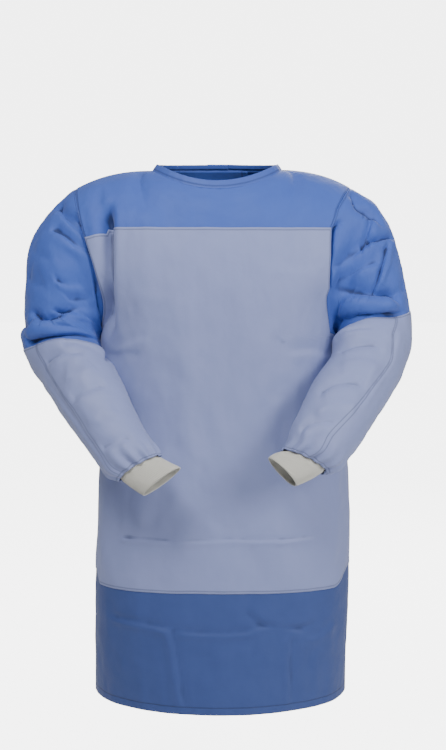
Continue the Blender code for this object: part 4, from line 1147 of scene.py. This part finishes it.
def cuff_place(sleeve):
    def place(a, b):
        turns = sleeve.turns_at(a)
        down = sleeve.cuff_end - 0.0005 - (sleeve.cuff_end - sleeve.end + CUFF_START_UNDER) * b
        points = sleeve.base(turns, down)
        ways = sleeve.frame(turns, down, sleeve.base)[2]
        rib = RIB_DEPTH * np.abs(np.sin(RIBS / 2 * np.radians(turns))) ** 0.7
        near_end = 1.0 - smoothstep((sleeve.cuff_end - down) / 0.008)
        wave = 0.0007 * np.sin(3.0 * np.radians(turns) + sleeve.seed) * (1.0 - b)
        under = -HIDDEN_TOP_SINK * smoothstep((b - 0.74) / 0.18)
        return points + ways * (rib - END_ROLL * near_end + wave + under - RIB_DEPTH)[..., None]

    return place


for side, sleeve in (("right", right_sleeve), ("left", left_sleeve)):
    cuff = lay_sheet(f"cuff_{side}_knit", RIBS * 6, 18, cuff_place(sleeve), (0.21, 0.07), cloth=KNIT, closed=True)
    wear(cuff, f"cuff_{side}", slot="white_knit", flat=(0.22, 0.075), held="stretched",
         rests_on=[f"sleeve_{side}_lower_cloth"])

# %% [markdown]
# ## Neck binding
#
# The raw neckline is bound with a strip of the blue cloth, folded over the edge. Its ends lap at the back.
# The sheet starts a little below the seam, runs up the outside, over the rounded edge and down the inside.

# %% Binding
BINDING_LAP = 10.0
BINDING_LOW = 0.28
BINDING_INSIDE = 0.65
PROFILE_ROUND = 0.0014
LAPPED_LIFT = 0.0024
BINDING_STITCH = 0.0055


def neck_all_round(degrees, line):
    turn = np.radians((degrees + 180.0) % 360.0 - 180.0)
    front = neck_curve("front", np.clip(turn, -math.pi / 2, math.pi / 2), line)
    back = neck_curve("back", np.sign(turn) * (math.pi - np.abs(turn)), line)
    return np.where((np.abs(turn) <= math.pi / 2)[..., None], front, back)


def binding_place(a, b):
    degrees = -180.0 - BINDING_LAP + (360.0 + 2.0 * BINDING_LAP) * a
    seam, edge = neck_all_round(degrees, NECK_SEAM), neck_all_round(degrees, BINDING_EDGE)
    up = unit(edge - seam)
    ahead = unit(neck_all_round(degrees + 0.5, NECK_SEAM) - neck_all_round(degrees - 0.5, NECK_SEAM))
    out = unit(np.cross(ahead, up))
    out = np.where(((out[:, :2] * seam[:, :2]).sum(axis=1) < 0)[:, None], -out, out)
    over = np.clip((b - 0.50) / 0.24, 0.0, 1.0) * math.pi
    down_inside = np.clip((b - 0.74) / 0.26, 0.0, 1.0)
    lapped = LAPPED_LIFT * smoothstep((degrees - 150.0) / 25.0)
    height = np.where(b < 0.50, (1.0 + BINDING_LOW) * b / 0.50 - BINDING_LOW, 1.0) - BINDING_INSIDE * down_inside
    point = seam + (edge - seam) * height[:, None]
    puff = 0.0005 * np.sin(np.clip(b / 0.5, 0.0, 1.0) * math.pi)
    pull = 0.00035 * np.sin(degrees * 0.55) * np.sin(degrees * 0.173 + 1.0)
    thick = PROFILE_ROUND * np.cos(over) + puff + pull + lapped + 0.0002
    return point + out * thick[:, None] + up * (PROFILE_ROUND * np.sin(over))[:, None]


binding = lay_sheet("neck_binding_strip", 300, 16, binding_place, (0.78, 0.030), cloth=0.0007,
                    insets={"low": BINDING_STITCH})
wear(binding, "neck_binding", slot="blue_binding", flat=(0.80, 0.026), rests_on=["yoke_cloth"])

# %% [markdown]
# ## Neck tab and waist ties
#
# None of these shows in the picture. They are the plainest fastenings such gowns have: a hook and loop tab at
# the neck, and two flat ties at the waist, knotted over the overlap.

# %% Tab
TRIM_STITCH = 0.003
TAB_TOP_V = TOP_V - 0.0122
TAB_LOW_V = TAB_TOP_V - 0.028
TAB_HALF_SHARE = 0.07
TAB_LIFT = FLAP_LIFT + 0.0019


def tab_place(a, b):
    v = TAB_LOW_V + (TAB_TOP_V - TAB_LOW_V) * b
    edge = overlap_share(v)
    s = -edge - 0.075 + (0.075 + 0.5 * edge) * (1.0 - a)
    return on_back(s, v, TAB_LIFT + 0.0004 * np.sin(math.pi * a) * np.sin(math.pi * b))


tab = lay_sheet("neck_tab_patch", 26, 16, tab_place, (0.045, 0.028), cloth=0.0013,
                insets=dict.fromkeys(("left", "right", "low", "high"), TRIM_STITCH))
wear(tab, "neck_tab", slot="blue_binding", flat=(0.060, 0.032), rests_on=["back_left_cloth"])

# %% Ties
TIE_Z = -0.440
TIE_WIDTH = 0.026
TIE_LIFT = 0.0018
TIE_INNER_S = 0.035
TIE_OUTER_S = 0.90


def tie_place(sign):
    """A tie runs from the side to the knot. It gathers as it nears the knot, and dips a little between."""

    def place(a, b):
        share = a if sign < 0 else 1.0 - a
        s = TIE_OUTER_S + (TIE_INNER_S - TIE_OUTER_S) * share
        width = TIE_WIDTH * (1.0 - 0.42 * smoothstep((share - 0.80) / 0.20))
        v = TIE_Z + (b - 0.5) * width - 0.004 * np.sin(math.pi * share)
        ruck = 0.0012 * smoothstep((share - 0.72) / 0.25) * np.cos(3.0 * math.pi * (b - 0.5))
        soft = 0.0006 * np.sin(9.0 * share + 3.0 * b)
        return on_back(sign * s, v, flap_lift(s) + TIE_LIFT + ruck + soft)

    return place


for sign, side in ((1.0, "left"), (-1.0, "right")):
    tie = lay_sheet(f"tie_{side}_strip", 130, 10, tie_place(sign), (0.33, TIE_WIDTH),
                    insets={"low": TRIM_STITCH, "high": TRIM_STITCH})
    wear(tie, f"tie_{side}", slot="blue_binding", flat=(0.34, 0.028), rests_on=[f"back_{side}_cloth"])

# %% Knot
KNOT_HALF_S = 0.030
KNOT_HALF_HEIGHT = 0.0165
KNOT_PUFF = 0.0105


def knot_place(a, b):
    """A flat strip wound round the ties: a rounded band with its two ends tucked behind."""
    across = (a - 0.5) * 2.0
    around = (b - 0.5) * 2.0
    s = -KNOT_HALF_S + 2.0 * KNOT_HALF_S * (1.0 - a) - 0.012 * around
    v = TIE_Z - 0.001 + KNOT_HALF_HEIGHT * around * (1.0 + 0.12 * across)
    round_up = np.sqrt(np.clip(1.0 - np.abs(around) ** 2.6, 0.0, 1.0))
    round_across = np.clip(1.0 - np.abs(across) ** 3.0, 0.0, 1.0) ** 0.6
    pinch = 0.0011 * np.cos(across * 7.5 + around * 2.2) * round_up
    return on_back(s, v, FLAP_LIFT + 0.0006 + KNOT_PUFF * round_up * round_across + pinch * round_across)


knot = lay_sheet("tie_knot_wrap", 40, 40, knot_place, (0.045, 0.050))
wear(knot, "tie_knot", slot="blue_binding", flat=(0.050, 0.028), held="gathered", rests_on=["tie_left_strip"])

# %% Tails
TAIL_TOP = TIE_Z - 0.018
TAIL_LENGTH = 0.220
TAIL_LIFT = 0.0026


def tail_place(near, far, sign):
    """A hanging tie end. It starts bunched under the knot, opens out and sways a little."""

    def place(a, b):
        drop = 1.0 - b
        v = TAIL_TOP + 0.010 - (TAIL_LENGTH + 0.009) * drop
        edge = overlap_share(v)
        open_out = 0.55 + 0.45 * smoothstep(drop / 0.25)
        mid = (near + far) / 2 * (0.45 + 0.55 * smoothstep(drop / 0.5)) + 0.012 * np.sin(5.0 * drop + sign)
        half = abs(far - near) / 2 * open_out
        s = (mid + (0.5 - a) * 2.0 * half) * edge
        cup = 0.0016 * np.cos(2.0 * math.pi * (a - 0.5)) * (1.0 - 0.6 * drop)
        sway = 0.0016 * (1.0 + np.sin(7.0 * drop + 2.0 * sign))
        bunch = 0.0040 * (1.0 - smoothstep(drop / 0.06))
        return on_back(s, v, FLAP_LIFT + TAIL_LIFT + cup + sway + bunch)

    return place


for sign, side, near, far in ((1.0, "left", 0.04, 0.42), (-1.0, "right", -0.40, -0.04)):
    tail = lay_sheet(f"tie_tail_{side}_strip", 10, 90, tail_place(near, far, sign), (0.026, 0.23),
                     insets={"left": TRIM_STITCH, "right": TRIM_STITCH, "low": 0.004})
    wear(tail, f"tie_tail_{side}", slot="blue_binding", flat=(0.030, 0.24), held="hung",
         rests_on=["tie_knot_wrap"])

# %% [markdown]
# ## Surface of the cloth
#
# The blue cloth is a layered nonwoven. Its fibres are welded in rows of tiny dots, so up close it shows a dot
# pattern over random fibres, and from further away a soft, slightly uneven blue. The pattern is a node group,
# so that the blue cloth, the pale cloth and the binding share it at different strengths.

# %% Node helpers


def new_group(name, inputs, outputs):
    """An empty node group. inputs are rows of name, kind and first value, outputs rows of name and kind."""
    group = bpy.data.node_groups.new(name, "ShaderNodeTree")
    for label, kind, value in inputs:
        group.interface.new_socket(name=label, in_out="INPUT", socket_type=kind).default_value = value
    for label, kind in outputs:
        group.interface.new_socket(name=label, in_out="OUTPUT", socket_type=kind)
    return group, group.nodes.new("NodeGroupInput"), group.nodes.new("NodeGroupOutput")


def add_node(tree, kind, inputs=(), **settings):
    """A node with its settings. inputs are pairs of a socket's name or place and a value or another socket."""
    node = tree.nodes.new(kind)
    for key, value in settings.items():
        setattr(node, key, value)
    for place, value in inputs:
        if isinstance(value, bpy.types.NodeSocket):
            tree.links.new(value, node.inputs[place])
        else:
            node.inputs[place].default_value = value
    return node


def math_node(tree, operation, first, second=0.0, clamp=False):
    made = add_node(tree, "ShaderNodeMath", ((0, first), (1, second)), operation=operation)
    made.use_clamp = clamp
    return made.outputs[0]


# %% Bonded cloth pattern


def make_bonded_group():
    """Gives a height in metres and an evenness from 0 to 1 for the colour."""
    group, start, end = new_group(
        "bonded_cloth",
        (("Vector", "NodeSocketVector", (0.0, 0.0, 0.0)), ("Dot Spacing", "NodeSocketFloat", 0.0016),
         ("Dot Depth", "NodeSocketFloat", 0.00006), ("Crinkle", "NodeSocketFloat", 0.0003)),
        (("Height", "NodeSocketFloat"), ("Evenness", "NodeSocketFloat")),
    )
    place = start.outputs["Vector"]
    size = math_node(group, "DIVIDE", 1.0, start.outputs["Dot Spacing"])
    scaled = add_node(group, "ShaderNodeVectorMath", ((0, place), ("Scale", size)), operation="SCALE").outputs[0]
    turned = add_node(group, "ShaderNodeMapping", (("Vector", scaled), ("Rotation", (0.0, 0.0, math.pi / 4))))
    dots = add_node(
        group, "ShaderNodeTexVoronoi", (("Vector", turned.outputs[0]), ("Scale", 1.0), ("Randomness", 0.0)),
        voronoi_dimensions="2D",
    )
    dot = add_node(
        group, "ShaderNodeMapRange",
        (("Value", dots.outputs["Distance"]), ("From Min", 0.18), ("From Max", 0.34), ("To Min", 1.0), ("To Max", 0.0)),
    ).outputs[0]
    fibres = add_node(group, "ShaderNodeTexNoise", (("Vector", place), ("Scale", 2600.0), ("Detail", 3.0)))
    folds = add_node(
        group, "ShaderNodeTexNoise",
        (("Vector", place), ("Scale", 62.0), ("Detail", 4.0), ("Roughness", 0.62), ("Distortion", 0.5)),
    )
    clouds = add_node(group, "ShaderNodeTexNoise", (("Vector", place), ("Scale", 24.0), ("Detail", 3.0)))
    sunk = math_node(group, "MULTIPLY", dot, start.outputs["Dot Depth"])
    fibre_height = math_node(group, "MULTIPLY", fibres.outputs[0], 0.00003)
    crinkle = math_node(group, "MULTIPLY", folds.outputs[0], start.outputs["Crinkle"])
    height = math_node(group, "SUBTRACT", math_node(group, "ADD", fibre_height, crinkle), sunk)
    soft = math_node(group, "MULTIPLY", clouds.outputs[0], 0.7)
    grain = math_node(group, "MULTIPLY", fibres.outputs[0], 0.3)
    evenness = math_node(group, "SUBTRACT", math_node(group, "ADD", soft, grain), math_node(group, "MULTIPLY", dot, 0.2))
    group.links.new(height, end.inputs["Height"])
    group.links.new(evenness, end.inputs["Evenness"])
    return group


bonded_cloth = make_bonded_group()

# %% [markdown]
# Seams are drawn from one number per point: how far it is from the nearest sewn line. The group turns that
# distance into a pressed groove with a row of stitches, each one a short raised thread.

# %% Seam group


def make_seam_group():
    group, start, end = new_group(
        "sewn_line",
        (("Distance", "NodeSocketFloat", 1.0), ("Along", "NodeSocketFloat", 0.0),
         ("Groove", "NodeSocketFloat", 0.0005), ("Stitch Length", "NodeSocketFloat", 0.0032)),
        (("Height", "NodeSocketFloat"), ("Shade", "NodeSocketFloat")),
    )
    far = math_node(group, "ABSOLUTE", start.outputs["Distance"])
    near = add_node(
        group, "ShaderNodeMapRange",
        (("Value", far), ("From Min", 0.0004), ("From Max", 0.0024), ("To Min", 1.0), ("To Max", 0.0)),
        interpolation_type="SMOOTHSTEP",
    ).outputs[0]
    thread = add_node(
        group, "ShaderNodeMapRange",
        (("Value", far), ("From Min", 0.0002), ("From Max", 0.0007), ("To Min", 1.0), ("To Max", 0.0)),
        interpolation_type="SMOOTHSTEP",
    ).outputs[0]
    beat = math_node(group, "FRACT", math_node(group, "DIVIDE", start.outputs["Along"], start.outputs["Stitch Length"]))
    on_thread = math_node(group, "LESS_THAN", beat, 0.68)
    stitch = math_node(group, "MULTIPLY", thread, on_thread)
    groove = math_node(group, "MULTIPLY", near, start.outputs["Groove"])
    raised = math_node(group, "MULTIPLY", stitch, 0.00025)
    group.links.new(math_node(group, "SUBTRACT", raised, groove), end.inputs["Height"])
    shade = math_node(group, "ADD", math_node(group, "MULTIPLY", near, 0.55), math_node(group, "MULTIPLY", stitch, 0.25))
    group.links.new(shade, end.inputs["Shade"])
    return group


sewn_line = make_seam_group()

# %% Knit group


def make_knit_group():
    """Small knitted loops, in columns along the ribs. Vector is in metres, Y runs along the tube."""
    group, start, end = new_group(
        "rib_knit",
        (("Vector", "NodeSocketVector", (0.0, 0.0, 0.0)), ("Loop Size", "NodeSocketFloat", 0.0012)),
        (("Height", "NodeSocketFloat"), ("Shade", "NodeSocketFloat")),
    )
    split = add_node(group, "ShaderNodeSeparateXYZ", (("Vector", start.outputs["Vector"]),))
    column = math_node(group, "DIVIDE", split.outputs[0], start.outputs["Loop Size"])
    row = math_node(group, "DIVIDE", split.outputs[1], start.outputs["Loop Size"])
    beside = math_node(group, "ABSOLUTE", math_node(group, "SUBTRACT", math_node(group, "FRACT", column), 0.5))
    slanted = math_node(group, "ADD", row, math_node(group, "MULTIPLY", beside, 1.4))
    loop = math_node(group, "SINE", math_node(group, "MULTIPLY", slanted, 2.0 * math.pi))
    gap = math_node(group, "COSINE", math_node(group, "MULTIPLY", column, 2.0 * math.pi))
    both = math_node(group, "MULTIPLY", math_node(group, "ADD", loop, gap), 0.5)
    group.links.new(math_node(group, "MULTIPLY", both, 0.00022), end.inputs["Height"])
    group.links.new(math_node(group, "MULTIPLY_ADD", both, 0.5), end.inputs["Shade"])
    return group


rib_knit = make_knit_group()

# %% [markdown]
# ## Materials
#
# Each material mixes two close colours by the cloth's evenness, darkens along seams, darkens its colour in the
# folds as painted shade, and adds a thin sheen, the pale haze that loose fibres give at grazing angles. Bump
# turns the heights into fine relief.

# %% Cloth materials
# fold_shade is how strongly the colour darkens in the folds: painted shade.
ClothLook = namedtuple("ClothLook", "name light dark rough sheen dot_depth crinkle fold_shade")
BLUE = ClothLook(
    "blue_cloth", (0.052, 0.112, 0.450, 1), (0.041, 0.093, 0.395, 1),
    0.62, 0.10, 0.00006, 0.0004, 1.0,
)
# The skirt's blue is the same cloth made darker: painted shade for the lower, less lit part of the gown. Its folds get
# a weaker painted shade.
PAINTED_SHADE_BLUE = ClothLook(
    "painted_shade_blue_cloth", (0.043, 0.077, 0.256, 1), (0.033, 0.062, 0.214, 1),
    0.62, 0.10, 0.00006, 0.0004, 0.5,
)
PALE = ClothLook(
    "pale_cloth", (0.238, 0.278, 0.512, 1), (0.210, 0.248, 0.474, 1),
    0.52, 0.12, 0.00003, 0.0005, 0.75,
)
BINDING = ClothLook(
    "blue_binding", (0.052, 0.108, 0.420, 1), (0.041, 0.088, 0.370, 1),
    0.58, 0.12, 0.00005, 0.0003, 0.6,
)


def start_material(name):
    made = bpy.data.materials.new(name)
    made.use_nodes = True
    return made, made.node_tree, made.node_tree.nodes["Principled BSDF"]


def mix_colours(tree, share, first, second):
    made = add_node(tree, "ShaderNodeMix", data_type="RGBA")
    tree.links.new(share, made.inputs[0])
    for place, value in ((6, first), (7, second)):
        if isinstance(value, bpy.types.NodeSocket):
            tree.links.new(value, made.inputs[place])
        else:
            made.inputs[place].default_value = value
    return made.outputs[2]


def make_cloth(look):
    made, tree, shader = start_material(look.name)
    uv = add_node(tree, "ShaderNodeUVMap").outputs[0]
    pattern = add_node(tree, "ShaderNodeGroup", node_tree=bonded_cloth)
    tree.links.new(uv, pattern.inputs["Vector"])
    pattern.inputs["Dot Depth"].default_value = look.dot_depth
    pattern.inputs["Crinkle"].default_value = look.crinkle
    seam = add_node(tree, "ShaderNodeGroup", node_tree=sewn_line)
    distance = add_node(tree, "ShaderNodeAttribute", attribute_name="sewn").outputs["Fac"]
    again = add_node(tree, "ShaderNodeAttribute", attribute_name="sewn_again").outputs["Fac"]
    along = add_node(tree, "ShaderNodeAttribute", attribute_name="along").outputs["Fac"]
    sunk = add_node(tree, "ShaderNodeAttribute", attribute_name="sunk").outputs["Fac"]
    nearer = math_node(tree, "MINIMUM", math_node(tree, "ABSOLUTE", distance), math_node(tree, "ABSOLUTE", again))
    tree.links.new(nearer, seam.inputs["Distance"])
    tree.links.new(along, seam.inputs["Along"])
    colour = mix_colours(tree, pattern.outputs["Evenness"], look.dark, look.light)
    # deeper is a darker copy of the cloth's colour: the painted shade in folds and the darker seams mix towards it.
    deeper = tuple(0.34 * c for c in look.dark[:3]) + (1.0,)
    sewn_share = math_node(tree, "MULTIPLY", seam.outputs["Shade"], 0.8, clamp=True)
    # Painted shade: where the sunk attribute says the cloth lies in a trough, the colour is mixed towards deeper.
    painted_fold_shade = add_node(
        tree, "ShaderNodeMapRange", (("Value", sunk), ("From Min", 0.2), ("To Max", look.fold_shade)),
        interpolation_type="SMOOTHSTEP",
    ).outputs[0]
    folded = mix_colours(tree, painted_fold_shade, colour, deeper)
    tree.links.new(mix_colours(tree, sewn_share, folded, deeper), shader.inputs["Base Color"])
    rough = add_node(
        tree, "ShaderNodeMapRange",
        (("Value", pattern.outputs["Evenness"]), ("To Min", look.rough + 0.08), ("To Max", look.rough - 0.06)),
    ).outputs[0]
    tree.links.new(rough, shader.inputs["Roughness"])
    height = math_node(tree, "ADD", pattern.outputs["Height"], seam.outputs["Height"])
    bump = add_node(tree, "ShaderNodeBump", (("Height", height), ("Distance", 1.0), ("Strength", 0.8)))
    tree.links.new(bump.outputs[0], shader.inputs["Normal"])
    shader.inputs["Sheen Weight"].default_value = look.sheen
    shader.inputs["Sheen Roughness"].default_value = 0.5
    shader.inputs["Specular IOR Level"].default_value = 0.35
    return made


def make_knit():
    made, tree, shader = start_material("white_knit")
    uv = add_node(tree, "ShaderNodeUVMap").outputs[0]
    pattern = add_node(tree, "ShaderNodeGroup", node_tree=rib_knit)
    tree.links.new(uv, pattern.inputs["Vector"])
    colour = mix_colours(tree, pattern.outputs["Shade"], (0.50, 0.49, 0.44, 1.0), (0.66, 0.65, 0.59, 1.0))
    tree.links.new(colour, shader.inputs["Base Color"])
    bump = add_node(tree, "ShaderNodeBump", (("Height", pattern.outputs["Height"]), ("Distance", 1.0)))
    tree.links.new(bump.outputs[0], shader.inputs["Normal"])
    shader.inputs["Roughness"].default_value = 0.9
    shader.inputs["Sheen Weight"].default_value = 0.4
    return made


cloths = [make_cloth(look) for look in (BLUE, PAINTED_SHADE_BLUE, PALE, BINDING)]
blue_cloth, painted_shade_blue_cloth, pale_cloth, blue_binding = cloths
white_knit = make_knit()

# %% Dressing the pieces
WEARS = (
    (blue_cloth, ("yoke_cloth", "back_left_cloth", "back_right_cloth",
                  "sleeve_right_upper_cloth", "sleeve_left_upper_cloth")),
    # The skirt wears the darker blue: painted shade.
    (painted_shade_blue_cloth, ("skirt_cloth",)),
    (pale_cloth, ("panel_cloth", "sleeve_right_lower_cloth", "sleeve_left_lower_cloth")),
    (blue_binding, ("neck_binding_strip", "neck_tab_patch", "tie_left_strip", "tie_right_strip",
                    "tie_knot_wrap", "tie_tail_left_strip", "tie_tail_right_strip")),
    (white_knit, ("cuff_right_knit", "cuff_left_knit")),
)
for material, names in WEARS:
    for name in names:
        bpy.data.objects[name].data.materials.clear()
        bpy.data.objects[name].data.materials.append(material)
print("dressed pieces:", sum(len(names) for _, names in WEARS))
